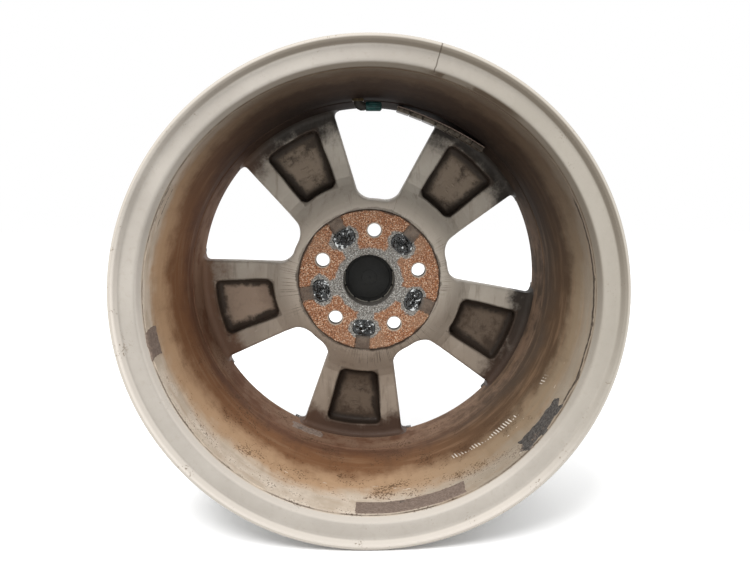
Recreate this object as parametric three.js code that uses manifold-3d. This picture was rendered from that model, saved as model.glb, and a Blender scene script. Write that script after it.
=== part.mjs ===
// One-piece five-spoke wheel rim, seen in its own frame: the wheel's axis is Y, +Y is the street side,
// -Y is the car side, and the origin is on the axis, half way between the two flange faces.
// Lengths are millimetres. A depth is measured from the car-side flange face towards the street side.

import * as THREE from 'three';
import { mergeVertices } from 'three/addons/utils/BufferGeometryUtils.js';
import Module from 'manifold-3d';

const wasm = await Module();
wasm.setup();

// ---- driving dimensions --------------------------------------------------------------------------

const BEAD_RADIUS = 218.3; // 17 inch bead seat
const FLANGE_RADIUS = BEAD_RADIUS + 17.5; // J flange
const WIDTH_BETWEEN_FLANGES = 190.5; // 7.5 inch rim width
const FLANGE_LIP = 11.5;
const RIM_WIDTH = WIDTH_BETWEEN_FLANGES + 2 * FLANGE_LIP;
const PAD_DEPTH = 155; // mounting pad, 48 mm outboard of the rim's mid plane
const PAD_RADIUS = 78.5;
const HUB_RADIUS = 90;
const BORE_RADIUS = 28.55;
const BOLT_CIRCLE_RADIUS = 56;
const BOLT_HOLE_RADIUS = 7.5;
const BOLT_SEAT_RADIUS = 12.5;
const BOLT_WELL_RADIUS = 14;
const SPOKE_COUNT = 5;
const FIRST_SPOKE_ANGLE = 48; // degrees from +X towards +Z
const WINDOW_OUTER_RADIUS = 190.6;
const GAP = 0.3; // left between touching pieces
const RING_SEGMENTS = 60;

// balance weights, a bent strip of equal blocks that touches the barrel only at its two ends
const WEIGHT_COUNT = 7;
const WEIGHT_DEPTH = 148;
const WEIGHT_WIDTH = 19;
const WEIGHT_THICKNESS = 4.3;
const WEIGHT_TAPE = 1;
const WEIGHT_MID_ANGLE = 65;
const WEIGHT_HALF_SPAN = 15.7;
const WEIGHT_BEND_RADIUS = 400;
const WEIGHT_END_RADIUS = 191.3;

// angled tyre valve: a shank through the barrel along Z, then a stem along +X
const VALVE_X = -11.4;
const VALVE_DEPTH = 136;
const VALVE_SEAT_Z = 195; // flat face cut into the barrel on the car side
const VALVE_TYRE_SEAT_Z = 199;
const VALVE_HOLE_RADIUS = 4.5;
const SHANK_RADIUS = 4.1;
const STEM_Z = 186.6;
const STEM_RADIUS = 3.85;
const STEM_END_X = 3;
const ELBOW_RADIUS = 4.7;
const CORE_BORE_RADIUS = 1.9;
const CAP_START_X = -3.2;
const CAP_END_X = 13.2;
const CAP_RADIUS = 4.9;

// ---- helpers -------------------------------------------------------------------------------------

const y = (depth) => depth - RIM_WIDTH / 2;
const radians = THREE.MathUtils.degToRad;
const polar = (radius, degrees) =>
  new THREE.Vector2(radius * Math.cos(radians(degrees)), radius * Math.sin(radians(degrees)));

function solid(geometry) {
  const bare = geometry.clone();
  bare.deleteAttribute('normal');
  bare.deleteAttribute('uv');
  const merged = mergeVertices(bare, 1e-4);
  const index = merged.index.array;
  const corners = [];
  for (let i = 0; i < index.length; i += 3) {
    const [a, b, c] = [index[i], index[i + 1], index[i + 2]];
    if (a !== b && b !== c && c !== a) corners.push(a, b, c);
  }
  const mesh = new wasm.Mesh({
    numProp: 3,
    vertProperties: new Float32Array(merged.attributes.position.array),
    triVerts: new Uint32Array(corners),
  });
  return new wasm.Manifold(mesh);
}

function surface(body) {
  const mesh = body.getMesh();
  const geometry = new THREE.BufferGeometry();
  geometry.setAttribute('position', new THREE.BufferAttribute(new Float32Array(mesh.vertProperties), 3));
  geometry.setIndex(new THREE.BufferAttribute(new Uint32Array(mesh.triVerts), 1));
  geometry.computeVertexNormals();
  return geometry;
}

// A ring or disc turned about Y from [radius, depth] points, given in either order.
function turned(points, segments = RING_SEGMENTS) {
  const profile = points.map(([radius, depth]) => new THREE.Vector2(radius, y(depth)));
  const closed = points[0][0] > 0 || points[points.length - 1][0] > 0;
  if (THREE.ShapeUtils.area(profile) < 0) profile.reverse();
  if (closed) profile.push(profile[0].clone());
  return solid(new THREE.LatheGeometry(profile, segments));
}

// An outline in the wheel's plane, carried along the axis between two depths.
function prism(points, fromDepth, toDepth) {
  const geometry = new THREE.ExtrudeGeometry(new THREE.Shape(points), {
    depth: toDepth - fromDepth,
    bevelEnabled: false,
    curveSegments: 1,
  });
  geometry.rotateX(Math.PI / 2).translate(0, y(toDepth), 0);
  return solid(geometry);
}

// A body turned about its own length, from [radius, distance] points, laid along X or along Z.
function turnedAlong(axis, points, segments, origin) {
  const profile = points.map(([radius, distance]) => new THREE.Vector2(radius, distance));
  const closed = points[0][0] > 0 || points[points.length - 1][0] > 0;
  if (THREE.ShapeUtils.area(profile) < 0) profile.reverse();
  if (closed) profile.push(profile[0].clone());
  const geometry = new THREE.LatheGeometry(profile, segments);
  if (axis === 'x') geometry.rotateZ(-Math.PI / 2);
  if (axis === 'z') geometry.rotateX(Math.PI / 2);
  return solid(geometry.translate(...origin));
}

// Angles are counted from +X towards +Z, which is a negative turn about Y.
const aboutAxis = (body, degrees) => body.rotate([0, -degrees, 0]);

const COLOURS = {
  forging: [0x8f877c, 0.55, 0.7],
  lip: [0xc9c2b2, 0.5, 0.6],
  capBlack: [0x161816, 0.75, 0],
  steel: [0x8a8a88, 0.4, 0.9],
  badge: [0x9a9da0, 0.35, 0.6],
  rubber: [0x14120f, 0.8, 0],
  brass: [0xa98a4a, 0.4, 0.9],
  green: [0x0d3b35, 0.5, 0],
  weight: [0x8f8b80, 0.5, 0.6],
  tape: [0x4a453d, 0.9, 0],
};

function piece(name, body, [color, roughness, metalness], turn = 0) {
  const material = new THREE.MeshStandardMaterial({ color, roughness, metalness });
  const mesh = new THREE.Mesh(surface(body), material);
  mesh.name = name;
  mesh.rotation.y = -radians(turn);
  return mesh;
}

// ---- barrel --------------------------------------------------------------------------------------

// The tyre side: flange, bead seat and hump, tapering leg, drop-centre well, hump, bead seat, flange.
const TYRE_SIDE = [
  [233, 0], [235.2, 1.3], [FLANGE_RADIUS, 4], [234.6, 8], [231, FLANGE_LIP - 0.8], [224, FLANGE_LIP],
  [BEAD_RADIUS + 0.6, 14], [BEAD_RADIUS - 1.2, 32], [BEAD_RADIUS, 38], [213, 49], [211.5, 60],
  [203.5, 118], [199.3, 130], [199.3, 165], [214, 178], [BEAD_RADIUS, 181.5], [BEAD_RADIUS - 0.6, 185],
  [BEAD_RADIUS + 0.6, 199.5], [224, RIM_WIDTH - FLANGE_LIP], [231, RIM_WIDTH - FLANGE_LIP + 0.8],
  [234.6, RIM_WIDTH - 8], [FLANGE_RADIUS, RIM_WIDTH - 4], [235.2, RIM_WIDTH - 1.3], [233, RIM_WIDTH],
];

// The open side, back from the street face: lip, dished cone, window edge, barrel wall, car-side lip.
const OPEN_SIDE = [
  [226, RIM_WIDTH], [222, RIM_WIDTH - 2.5], [193, 200.5], [WINDOW_OUTER_RADIUS, 198],
  [WINDOW_OUTER_RADIUS, 178], [193.4, 150], [194.5, 132], [200.2, 100], [205.8, 60], [207.2, 49],
  [209.4, 17.5], [210.4, 15.5], [213, 11], [222, 3.4], [224.4, 2.6], [227, 0],
];

function makeBarrel() {
  const ring = turned([...TYRE_SIDE, ...OPEN_SIDE]);
  const hole = turnedAlong('z', [[0, 180], [VALVE_HOLE_RADIUS, 180], [VALVE_HOLE_RADIUS, 225], [0, 225]],
    20, [VALVE_X, y(VALVE_DEPTH), 0]);
  const carSeat = turnedAlong('z', [[0, 180], [8.5, 180], [8.5, VALVE_SEAT_Z], [0, VALVE_SEAT_Z]],
    20, [VALVE_X, y(VALVE_DEPTH), 0]);
  const tyreSeat = turnedAlong('z', [[0, VALVE_TYRE_SEAT_Z], [9, VALVE_TYRE_SEAT_Z], [9, 225], [0, 225]],
    20, [VALVE_X, y(VALVE_DEPTH), 0]);
  return ring.subtract(hole).subtract(carSeat).subtract(tyreSeat);
}

// ---- hub -----------------------------------------------------------------------------------------

const CAP_SEAT_RADIUS = 31.6;
const CAP_SEAT_DEPTH = 189.6;
const HUB_FRONT_DEPTH = 197;

// Raised mounting pad, a chamfered bore, and a shallow seat for the centre cap on the street side.
const HUB_PROFILE = [
  [BORE_RADIUS + 1.6, PAD_DEPTH], [PAD_RADIUS, PAD_DEPTH], [PAD_RADIUS + 0.6, PAD_DEPTH + 2.5],
  [84, PAD_DEPTH + 3.5], [HUB_RADIUS, 163], [HUB_RADIUS, HUB_FRONT_DEPTH + 1],
  [60, HUB_FRONT_DEPTH], [CAP_SEAT_RADIUS + 2, HUB_FRONT_DEPTH - 0.5],
  [CAP_SEAT_RADIUS, HUB_FRONT_DEPTH - 1.5], [CAP_SEAT_RADIUS, CAP_SEAT_DEPTH],
  [BORE_RADIUS, CAP_SEAT_DEPTH], [BORE_RADIUS, PAD_DEPTH + 1.8],
];

// A lug bolt's hole: plain, then a conical seat, then a well that opens to the street side.
function boltCut() {
  const profile = [
    [0, 150], [BOLT_HOLE_RADIUS, 150], [BOLT_HOLE_RADIUS, 167], [BOLT_SEAT_RADIUS, 173],
    [BOLT_WELL_RADIUS, 173], [BOLT_WELL_RADIUS, 205], [0, 205],
  ];
  return turned(profile, 20).translate([BOLT_CIRCLE_RADIUS, 0, 0]);
}

// A cored pocket in the pad between two bolts, with a shallow channel out to the pad's edge.
const CORE_HALF_WIDTH = 13;
const CORE_HALF_LENGTH = 9;
const CORE_MID_RADIUS = 53.5;
function coreCut() {
  const outline = [];
  for (let i = 0; i < 16; i += 1) {
    const a = (i / 16) * 2 * Math.PI;
    const squareness = (value) => Math.sign(value) * Math.abs(value) ** 0.7;
    outline.push(new THREE.Vector2(CORE_MID_RADIUS + CORE_HALF_LENGTH * squareness(Math.cos(a)),
      CORE_HALF_WIDTH * squareness(Math.sin(a))));
  }
  const pocket = prism(outline, 150, 168);
  const channel = prism([[56, -6], [82, -7.5], [82, 7.5], [56, 6]].map(([a, b]) => new THREE.Vector2(a, b)),
    150, PAD_DEPTH + 2.2);
  return pocket.add(channel);
}

function makeHub() {
  let hub = turned(HUB_PROFILE);
  for (let i = 0; i < SPOKE_COUNT; i += 1) {
    const spokeAngle = FIRST_SPOKE_ANGLE + (360 / SPOKE_COUNT) * i;
    hub = hub.subtract(aboutAxis(boltCut(), spokeAngle + 180 / SPOKE_COUNT));
    hub = hub.subtract(aboutAxis(coreCut(), spokeAngle));
  }
  return hub;
}

// ---- spokes --------------------------------------------------------------------------------------

const SPOKE_INNER = HUB_RADIUS + GAP;
const SPOKE_OUTER = WINDOW_OUTER_RADIUS - 0.6;
const SPOKE_ROOT_HALF_WIDTH = 39.3; // at ROOT_STATION along the spoke
const ROOT_STATION = 97.4;
const SPOKE_FLARE = 0.2275; // half width gained per millimetre of length

// Half angle of a spoke at a radius: straight flaring sides, plus a fillet at the hub and at the barrel.
function spokeHalfAngle(radius) {
  const offset = SPOKE_ROOT_HALF_WIDTH - SPOKE_FLARE * ROOT_STATION;
  const lean = Math.atan(SPOKE_FLARE);
  const straight = lean + Math.asin((offset * Math.cos(lean)) / radius);
  const fillets = 5 * Math.exp(-(radius - SPOKE_INNER) / 3) + 2.2 * Math.exp(-(SPOKE_OUTER - radius) / 2.5);
  return THREE.MathUtils.radToDeg(straight) + fillets;
}

function spokeOutline() {
  const stations = [SPOKE_INNER, 91.6, 93.5, 96.5, 101, 110, 183, 187, SPOKE_OUTER];
  const side = stations.map((radius) => polar(radius, spokeHalfAngle(radius)));
  const tip = [12, 6, 0, -6, -12].map((degrees) => polar(SPOKE_OUTER, degrees));
  const root = [-24, -18, -12, -6, 0, 6, 12, 18, 24].map((degrees) => polar(SPOKE_INNER, degrees));
  const mirrored = side.map((point) => new THREE.Vector2(point.x, -point.y)).reverse();
  return [...side, ...tip, ...mirrored, ...root];
}

// The back of the spokes drops away from the hub, runs level, and rises again into the barrel.
const SPOKE_BACK = [[85, 162], [SPOKE_INNER, 163.5], [97, 171], [106, 178], [120, 182], [175, 185.5],
  [186, 184], [195, 180]];
const SPOKE_FRONT = [[195, 206], [175, 207], [150, 205.5], [115, 200.5], [85, 198]];
const POCKET_DEPTH = 12;

function makeSpoke() {
  const blade = turned([...SPOKE_BACK, ...SPOKE_FRONT], 72);
  const pocketOutline = [
    polar(111, -10.2), polar(113, -11.6), polar(172, -11.2), polar(176, -9.4), polar(178, -4),
    polar(178, 4), polar(176, 9.4), polar(172, 11.2), polar(113, 11.6), polar(111, 10.2), polar(109.5, 5),
    polar(109.5, -5),
  ];
  const floor = SPOKE_BACK.map(([radius, depth]) => [radius, depth + POCKET_DEPTH]);
  const below = turned([[85, 150], ...floor, [195, 150]], 72);
  const pocket = prism(pocketOutline, 151, 215).intersect(below);
  return prism(spokeOutline(), 150, 215).intersect(blade).subtract(pocket);
}

// ---- centre cap ----------------------------------------------------------------------------------

const CAP_SKIRT_RADIUS = BORE_RADIUS - 0.4;
const CAP_SKIRT_START = 177.5;
const CAP_DISC_DEPTH = 180.5; // the closed face that shows in the bore
const CAP_WALL = 1.8;
const CAP_LEDGE_DEPTH = 194.2; // the badge sits on it
const CAP_SLOTS = 10;
const CAP_SLOT_HALF_WIDTH = 1;
const CAP_HOLLOW_RADIUS = CAP_SKIRT_RADIUS - CAP_WALL;

// A closed disc with a castellated skirt towards the car, hollow towards the street under its badge.
function makeCapShell() {
  const rim = CAP_SEAT_RADIUS - 0.5;
  let shell = turned([
    [0, CAP_DISC_DEPTH], [CAP_SKIRT_RADIUS - 1.25, CAP_DISC_DEPTH], [CAP_SKIRT_RADIUS - 1.05, CAP_SKIRT_START],
    [CAP_SKIRT_RADIUS, CAP_SKIRT_START], [CAP_SKIRT_RADIUS, CAP_SEAT_DEPTH + GAP],
    [rim, CAP_SEAT_DEPTH + GAP], [rim, 194], [rim - 1.5, 195.2], [26.6, 195.6], [26.6, CAP_LEDGE_DEPTH],
    [24.6, CAP_LEDGE_DEPTH], [24.6, 191], [CAP_HOLLOW_RADIUS, 190],
    [CAP_HOLLOW_RADIUS, CAP_DISC_DEPTH + CAP_WALL], [0, CAP_DISC_DEPTH + CAP_WALL],
  ], 40);
  const slot = prism([[27, -1], [30, -1], [30, 1], [27, 1]].map(([a, b]) => new THREE.Vector2(a,
    b * CAP_SLOT_HALF_WIDTH)), 170, 184);
  for (let i = 0; i < CAP_SLOTS; i += 1) {
    shell = shell.subtract(aboutAxis(slot, (i + 0.5) * (360 / CAP_SLOTS)));
  }
  return shell;
}

function makeRing(radius, wire, depth, segments) {
  const points = [];
  for (let i = 0; i < 6; i += 1) {
    const a = (i / 6) * 2 * Math.PI;
    points.push([radius + wire * Math.cos(a), depth + wire * Math.sin(a)]);
  }
  return turned(points, segments);
}

const makeCapBadge = () => turned([[0, 194.5], [26.2, 194.5], [26.2, 195.4], [24, 196.2], [0, 196.6]], 40);

// ---- tyre valve ----------------------------------------------------------------------------------

const VALVE_Y = y(VALVE_DEPTH);
const FOOT_Z = VALVE_TYRE_SEAT_Z + 3.1;

function makeValveElbow() {
  const shank = turnedAlong('z', [[0, STEM_Z - 1], [SHANK_RADIUS, STEM_Z - 1], [SHANK_RADIUS, FOOT_Z],
    [7.5, FOOT_Z], [7, FOOT_Z + 2.4], [0, FOOT_Z + 2.4]], 20, [VALVE_X, VALVE_Y, 0]);
  const stem = turnedAlong('x', [[0, VALVE_X], [STEM_RADIUS, VALVE_X], [STEM_RADIUS, STEM_END_X],
    [0, STEM_END_X]], 20, [0, VALVE_Y, STEM_Z]);
  const knee = solid(new THREE.SphereGeometry(ELBOW_RADIUS, 16, 10).translate(VALVE_X, VALVE_Y, STEM_Z));
  const airWay = turnedAlong('z', [[0, STEM_Z], [1.4, STEM_Z], [1.4, 215], [0, 215]], 12,
    [VALVE_X, VALVE_Y, 0]);
  const coreBore = turnedAlong('x', [[0, VALVE_X], [CORE_BORE_RADIUS, VALVE_X], [CORE_BORE_RADIUS, 20],
    [0, 20]], 12, [0, VALVE_Y, STEM_Z]);
  return shank.add(stem).add(knee).subtract(airWay).subtract(coreBore);
}

// The rubber seal squeezed between the valve's foot and the barrel, on the tyre side.
const makeValveGrommet = () => turnedAlong('z', [[SHANK_RADIUS + GAP, VALVE_TYRE_SEAT_Z + GAP],
  [7.3, VALVE_TYRE_SEAT_Z + GAP], [7.3, FOOT_Z - GAP], [SHANK_RADIUS + GAP, FOOT_Z - GAP]], 20,
[VALVE_X, VALVE_Y, 0]);

// The hexagon nut that clamps the valve, under the flat seat on the car side.
function makeValveNut() {
  const low = STEM_Z + ELBOW_RADIUS + 0.4;
  const high = VALVE_SEAT_Z - GAP;
  const block = turnedAlong('z', [[0, low], [6.9, low], [6.9, high], [0, high]], 6, [VALVE_X, VALVE_Y, 0]);
  const bore = SHANK_RADIUS + GAP;
  const hole = turnedAlong('z', [[0, 180], [bore, 180], [bore, 200], [0, 200]], 20, [VALVE_X, VALVE_Y, 0]);
  return block.subtract(hole);
}

// Valve core: a tube screwed into the stem, a pin that slides in it, and the spring that closes it.
const CORE_IN_X = -4;
const CORE_OUT_X = STEM_END_X - 1;
const PIN_RADIUS = 0.45;
const SPRING_RADIUS = 0.95;
const SPRING_WIRE = 0.16;
const SPRING_TURNS = 4;
const makeValveCore = () => turnedAlong('x', [[PIN_RADIUS + 0.15, CORE_OUT_X - 1.2],
  [PIN_RADIUS + 0.15, CORE_OUT_X], [CORE_BORE_RADIUS - 0.2, CORE_OUT_X], [CORE_BORE_RADIUS - 0.2, CORE_IN_X],
  [1.3, CORE_IN_X], [1.3, CORE_OUT_X - 1.2]], 12, [0, VALVE_Y, STEM_Z]);
const makeValvePin = () => turnedAlong('x', [[0, CORE_IN_X - 1.2], [1.1, CORE_IN_X - 1.2],
  [1.1, CORE_IN_X - 0.3], [PIN_RADIUS, CORE_IN_X - 0.3], [PIN_RADIUS, CORE_OUT_X + 0.6],
  [0, CORE_OUT_X + 0.6]], 10, [0, VALVE_Y, STEM_Z]);

class Helix extends THREE.Curve {
  constructor(radius, turns, start, length) {
    super();
    Object.assign(this, { radius, turns, start, length });
  }

  getPoint(t, target = new THREE.Vector3()) {
    const a = 2 * Math.PI * this.turns * t;
    return target.set(this.start + this.length * t, this.radius * Math.cos(a), this.radius * Math.sin(a));
  }
}

function makeValveSpring() {
  const start = CORE_IN_X + 0.15;
  const path = new Helix(SPRING_RADIUS, SPRING_TURNS, start, CORE_OUT_X - 1.6 - start);
  const wire = new THREE.Shape([0, 1, 2, 3, 4].map((i) => polar(SPRING_WIRE, 72 * i)));
  const geometry = new THREE.ExtrudeGeometry(wire, { steps: 10 * SPRING_TURNS, extrudePath: path });
  return solid(geometry.translate(0, VALVE_Y, STEM_Z));
}

// The screw cap: a blind bore over the stem's thread, fluted grip outside.
const CAP_FLUTES = 12;
function makeValveCap() {
  const bore = STEM_RADIUS + GAP;
  let cap = turnedAlong('x', [[bore, CAP_START_X], [CAP_RADIUS, CAP_START_X], [CAP_RADIUS, CAP_END_X - 1.5],
    [CAP_RADIUS - 1.3, CAP_END_X], [0, CAP_END_X], [0, STEM_END_X + 3.4],
    [2.2, STEM_END_X + 3.4], [bore, STEM_END_X + 1.8]], 24,
  [0, VALVE_Y, STEM_Z]);
  for (let i = 0; i < CAP_FLUTES; i += 1) {
    const a = (i / CAP_FLUTES) * 2 * Math.PI;
    const flute = turnedAlong('x', [[0, 0.4], [0.55, 0.4], [0.55, 20], [0, 20]], 6,
      [0, VALVE_Y + (CAP_RADIUS + 0.1) * Math.cos(a), STEM_Z + (CAP_RADIUS + 0.1) * Math.sin(a)]);
    cap = cap.subtract(flute);
  }
  return cap;
}

const makeCapSeal = () => turnedAlong('x', [[2.3, STEM_END_X + GAP], [STEM_RADIUS, STEM_END_X + GAP],
  [STEM_RADIUS, STEM_END_X + 1.3], [2.3, STEM_END_X + 1.3]], 16, [0, VALVE_Y, STEM_Z]);

// ---- balance weights and tape left on the barrel -------------------------------------------------

// The strip follows an arc flatter than the barrel, so that its middle stands off the wall.
const weightBendCentre = () => {
  const half = WEIGHT_END_RADIUS * Math.sin(radians(WEIGHT_HALF_SPAN));
  const chord = WEIGHT_END_RADIUS * Math.cos(radians(WEIGHT_HALF_SPAN));
  return { centre: chord - Math.sqrt(WEIGHT_BEND_RADIUS ** 2 - half ** 2),
    halfAngle: THREE.MathUtils.radToDeg(Math.asin(half / WEIGHT_BEND_RADIUS)) };
};

// A slice of the strip between two radii and two angles about the bend's centre.
function stripSlice(inner, outer, from, to, steps, depth, width) {
  const { centre } = weightBendCentre();
  const points = [];
  for (let i = 0; i <= steps; i += 1) points.push(polar(outer, from + ((to - from) * i) / steps));
  for (let i = steps; i >= 0; i -= 1) points.push(polar(inner, from + ((to - from) * i) / steps));
  points.forEach((point) => point.setX(point.x + centre));
  return prism(points, depth, depth + width);
}

function makeWeights() {
  const { halfAngle } = weightBendCentre();
  const outer = WEIGHT_BEND_RADIUS - WEIGHT_TAPE - GAP;
  const pitch = (2 * halfAngle) / WEIGHT_COUNT;
  const weights = [];
  for (let i = 0; i < WEIGHT_COUNT; i += 1) {
    const from = -halfAngle + pitch * i + 0.04;
    const block = stripSlice(outer - WEIGHT_THICKNESS, outer, from, from + pitch - 0.08, 1, WEIGHT_DEPTH,
      WEIGHT_WIDTH);
    weights.push(piece(`weight_${i + 1}`, block, COLOURS.weight, WEIGHT_MID_ANGLE));
  }
  const tape = stripSlice(WEIGHT_BEND_RADIUS - WEIGHT_TAPE, WEIGHT_BEND_RADIUS, -halfAngle, halfAngle, 10,
    WEIGHT_DEPTH + 0.5, WEIGHT_WIDTH - 1);
  weights.push(piece('weight_tape', tape, COLOURS.tape, WEIGHT_MID_ANGLE));
  return weights;
}

// Foam tape that old weights left behind: [name, outer radius, from angle, to angle, depth, width].
const OLD_TAPES = [
  ['old_tape_bottom', 206.6, 267, 296, 20, 28],
  ['old_tape_right', 206.6, 314, 331, 20, 28],
  ['old_tape_left', 206.6, 187.5, 195, 17, 27],
  ['old_tape_inner', 190, 243, 251, 160, 18],
];

function makeOldTapes() {
  return OLD_TAPES.map(([name, radius, from, to, depth, width]) => {
    const steps = Math.ceil((to - from) / 3);
    const edge = (r) => Array.from({ length: steps + 1 }, (_, i) => polar(r, from + ((to - from) * i) / steps));
    const outline = [...edge(radius), ...edge(radius - 1.2).reverse()];
    return piece(name, prism(outline, depth, depth + width), COLOURS.tape);
  });
}

// ---- assembly ------------------------------------------------------------------------------------

const rim = new THREE.Group();
rim.add(piece('barrel', makeBarrel(), COLOURS.lip));
rim.add(piece('hub', makeHub(), COLOURS.forging));
const spoke = makeSpoke();
for (let i = 0; i < SPOKE_COUNT; i += 1) {
  rim.add(piece(`spoke_${i + 1}`, spoke, COLOURS.forging, FIRST_SPOKE_ANGLE + (360 / SPOKE_COUNT) * i));
}

const centreCap = new THREE.Group();
centreCap.add(piece('cap_shell', makeCapShell(), COLOURS.capBlack));
centreCap.add(piece('cap_spring_ring', makeRing(CAP_HOLLOW_RADIUS - 1.1, 0.8, 184.5, 40), COLOURS.steel));
centreCap.add(piece('cap_badge', makeCapBadge(), COLOURS.badge));

const valve = new THREE.Group();
valve.add(piece('valve_elbow', makeValveElbow(), COLOURS.rubber));
valve.add(piece('valve_grommet', makeValveGrommet(), COLOURS.rubber));
valve.add(piece('valve_nut', makeValveNut(), COLOURS.brass));
valve.add(piece('valve_core', makeValveCore(), COLOURS.brass));
valve.add(piece('valve_pin', makeValvePin(), COLOURS.brass));
valve.add(piece('valve_spring', makeValveSpring(), COLOURS.steel));
valve.add(piece('valve_cap', makeValveCap(), COLOURS.green));
valve.add(piece('valve_cap_seal', makeCapSeal(), COLOURS.rubber));

const wheel = new THREE.Group();
wheel.add(rim, centreCap, valve, ...makeWeights(), ...makeOldTapes());

export default wheel;
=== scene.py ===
"""A used five-spoke wheel rim, built round its CAD frame.

The wheel's axis is Y: -Y is the car side and +Y the street side. Radii and depths are metres, and a depth
is measured from the car-side flange face towards the street side.
"""

import math

import bmesh
import bpy
import numpy as np
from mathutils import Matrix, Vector


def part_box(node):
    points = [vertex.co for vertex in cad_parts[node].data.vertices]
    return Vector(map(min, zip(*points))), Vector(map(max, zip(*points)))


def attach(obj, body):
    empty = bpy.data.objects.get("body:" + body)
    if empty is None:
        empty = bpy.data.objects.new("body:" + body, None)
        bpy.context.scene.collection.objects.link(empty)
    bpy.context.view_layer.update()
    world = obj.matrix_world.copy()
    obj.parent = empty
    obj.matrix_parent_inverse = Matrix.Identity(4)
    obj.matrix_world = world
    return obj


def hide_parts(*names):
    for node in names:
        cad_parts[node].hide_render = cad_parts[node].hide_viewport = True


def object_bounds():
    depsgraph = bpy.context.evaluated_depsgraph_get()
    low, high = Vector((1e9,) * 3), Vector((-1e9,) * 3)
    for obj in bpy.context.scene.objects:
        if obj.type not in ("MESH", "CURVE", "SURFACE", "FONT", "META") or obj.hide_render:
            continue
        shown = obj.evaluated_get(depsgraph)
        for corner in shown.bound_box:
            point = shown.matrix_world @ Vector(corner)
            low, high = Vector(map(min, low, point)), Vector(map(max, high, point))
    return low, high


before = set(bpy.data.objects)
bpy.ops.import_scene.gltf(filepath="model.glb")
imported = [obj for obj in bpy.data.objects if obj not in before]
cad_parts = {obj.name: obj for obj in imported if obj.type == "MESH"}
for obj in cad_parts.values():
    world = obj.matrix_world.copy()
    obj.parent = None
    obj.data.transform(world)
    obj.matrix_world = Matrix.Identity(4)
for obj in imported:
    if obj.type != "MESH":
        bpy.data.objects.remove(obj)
cad_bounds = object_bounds()

# ---- dimensions ------------------------------------------------------------------------------------

MM = 0.001
TURN = 2 * math.pi
SPOKES = 5
SECTOR_DEGREES = 360 / SPOKES
FIRST_SPOKE_DEGREES = 48
FIRST_SPOKE = math.radians(FIRST_SPOKE_DEGREES)
SECTOR = TURN / SPOKES

barrel_low, barrel_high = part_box("barrel")
hub_low, hub_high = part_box("hub")
FLANGE_RADIUS = barrel_high.x
RIM_START = barrel_low.y
RIM_WIDTH = barrel_high.y - barrel_low.y
PAD_DEPTH = hub_low.y - RIM_START
PAD_RADIUS = 78.5 * MM
WEB_RADIUS = hub_high.x
BORE_RADIUS = 28.55 * MM
BOLT_CIRCLE = 56 * MM
CORE_CIRCLE = 53.5 * MM


def mm(*values):
    """Millimetres to metres, as an array."""
    return np.array(values, float) * MM


def depth_to_y(depth):
    return RIM_START + depth


def turned_place(along, across, turn):
    """X and Z of a point given by its lengths along and across a direction at that bearing."""
    return (along * math.cos(turn) - across * math.sin(turn),
            along * math.sin(turn) + across * math.cos(turn))


# ---- meshes ----------------------------------------------------------------------------------------

def make_piece(name, points, faces, material, body="wheel", normals=None):
    """Puts points and three- or four-cornered faces into a smooth mesh that rides on a body. Where no
    normals are given, the faces are turned over if the volume they enclose comes out negative."""
    mesh = bpy.data.meshes.new(name)
    mesh.from_pydata(np.asarray(points, float).tolist(), [], faces)
    if normals is None:
        solid = bmesh.new()
        solid.from_mesh(mesh)
        if solid.calc_volume(signed=True) < 0:
            mesh.flip_normals()
        solid.free()
    mesh.update()
    mesh.polygons.foreach_set("use_smooth", np.ones(len(mesh.polygons), bool))
    if normals is not None:
        mesh.normals_split_custom_set_from_vertices(np.asarray(normals, float).tolist())
    mesh.materials.append(material)
    piece = bpy.data.objects.new(name, mesh)
    bpy.context.scene.collection.objects.link(piece)
    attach(piece, body)
    return piece


def grid_faces(rows, columns, closed_rows=False, closed_columns=False):
    """Quads between neighbouring points of a rows by columns grid, optionally wrapped either way."""
    row = np.arange(rows if closed_rows else rows - 1)
    column = np.arange(columns if closed_columns else columns - 1)
    i, j = np.meshgrid(row, column, indexing="ij")
    next_i, next_j = (i + 1) % rows, (j + 1) % columns
    corners = [i * columns + j, i * columns + next_j, next_i * columns + next_j, next_i * columns + j]
    return np.stack([c.ravel() for c in corners], axis=1)


def sharpen(piece, degrees=35):
    """Shades smooth, but keeps edges above an angle crisp."""
    piece.data.set_sharp_from_angle(angle=math.radians(degrees))


def rounded(corners, closed=True, step=0.0016):
    """An outline from (x, y, radius) corners: each corner is an arc tangent to both of its sides."""
    path = []
    count = len(corners)
    points = np.array([corner[:2] for corner in corners], float)
    for i, (_, _, radius) in enumerate(corners):
        here = points[i]
        if radius <= 0 or (not closed and i in (0, count - 1)):
            path.append(here)
            continue
        back = points[i - 1] - here
        ahead = points[(i + 1) % count] - here
        back_length, ahead_length = np.linalg.norm(back), np.linalg.norm(ahead)
        back, ahead = back / back_length, ahead / ahead_length
        half = math.acos(np.clip(back @ ahead, -1, 1)) / 2
        reach = min(radius / math.tan(half), 0.49 * back_length, 0.49 * ahead_length)
        radius = reach * math.tan(half)
        bisector = (back + ahead) / np.linalg.norm(back + ahead)
        centre = here + bisector * radius / math.sin(half)
        start, end = here + back * reach - centre, here + ahead * reach - centre
        sweep = math.atan2(start[0] * end[1] - start[1] * end[0], start @ end)
        steps = max(2, math.ceil(abs(sweep) / 0.22))
        for k in range(steps + 1):
            a = sweep * k / steps
            turn = np.array([[math.cos(a), -math.sin(a)], [math.sin(a), math.cos(a)]])
            path.append(centre + turn @ start)
    path = np.array(path)
    if closed:
        path = np.vstack([path, path[:1]])
    dense = [path[:1]]
    for a, b in zip(path[:-1], path[1:]):
        pieces = max(1, math.ceil(np.linalg.norm(b - a) / step))
        dense.append(a + (b - a) * (np.arange(1, pieces + 1) / pieces)[:, None])
    dense = np.vstack(dense)
    return dense[:-1] if closed else dense


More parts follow.
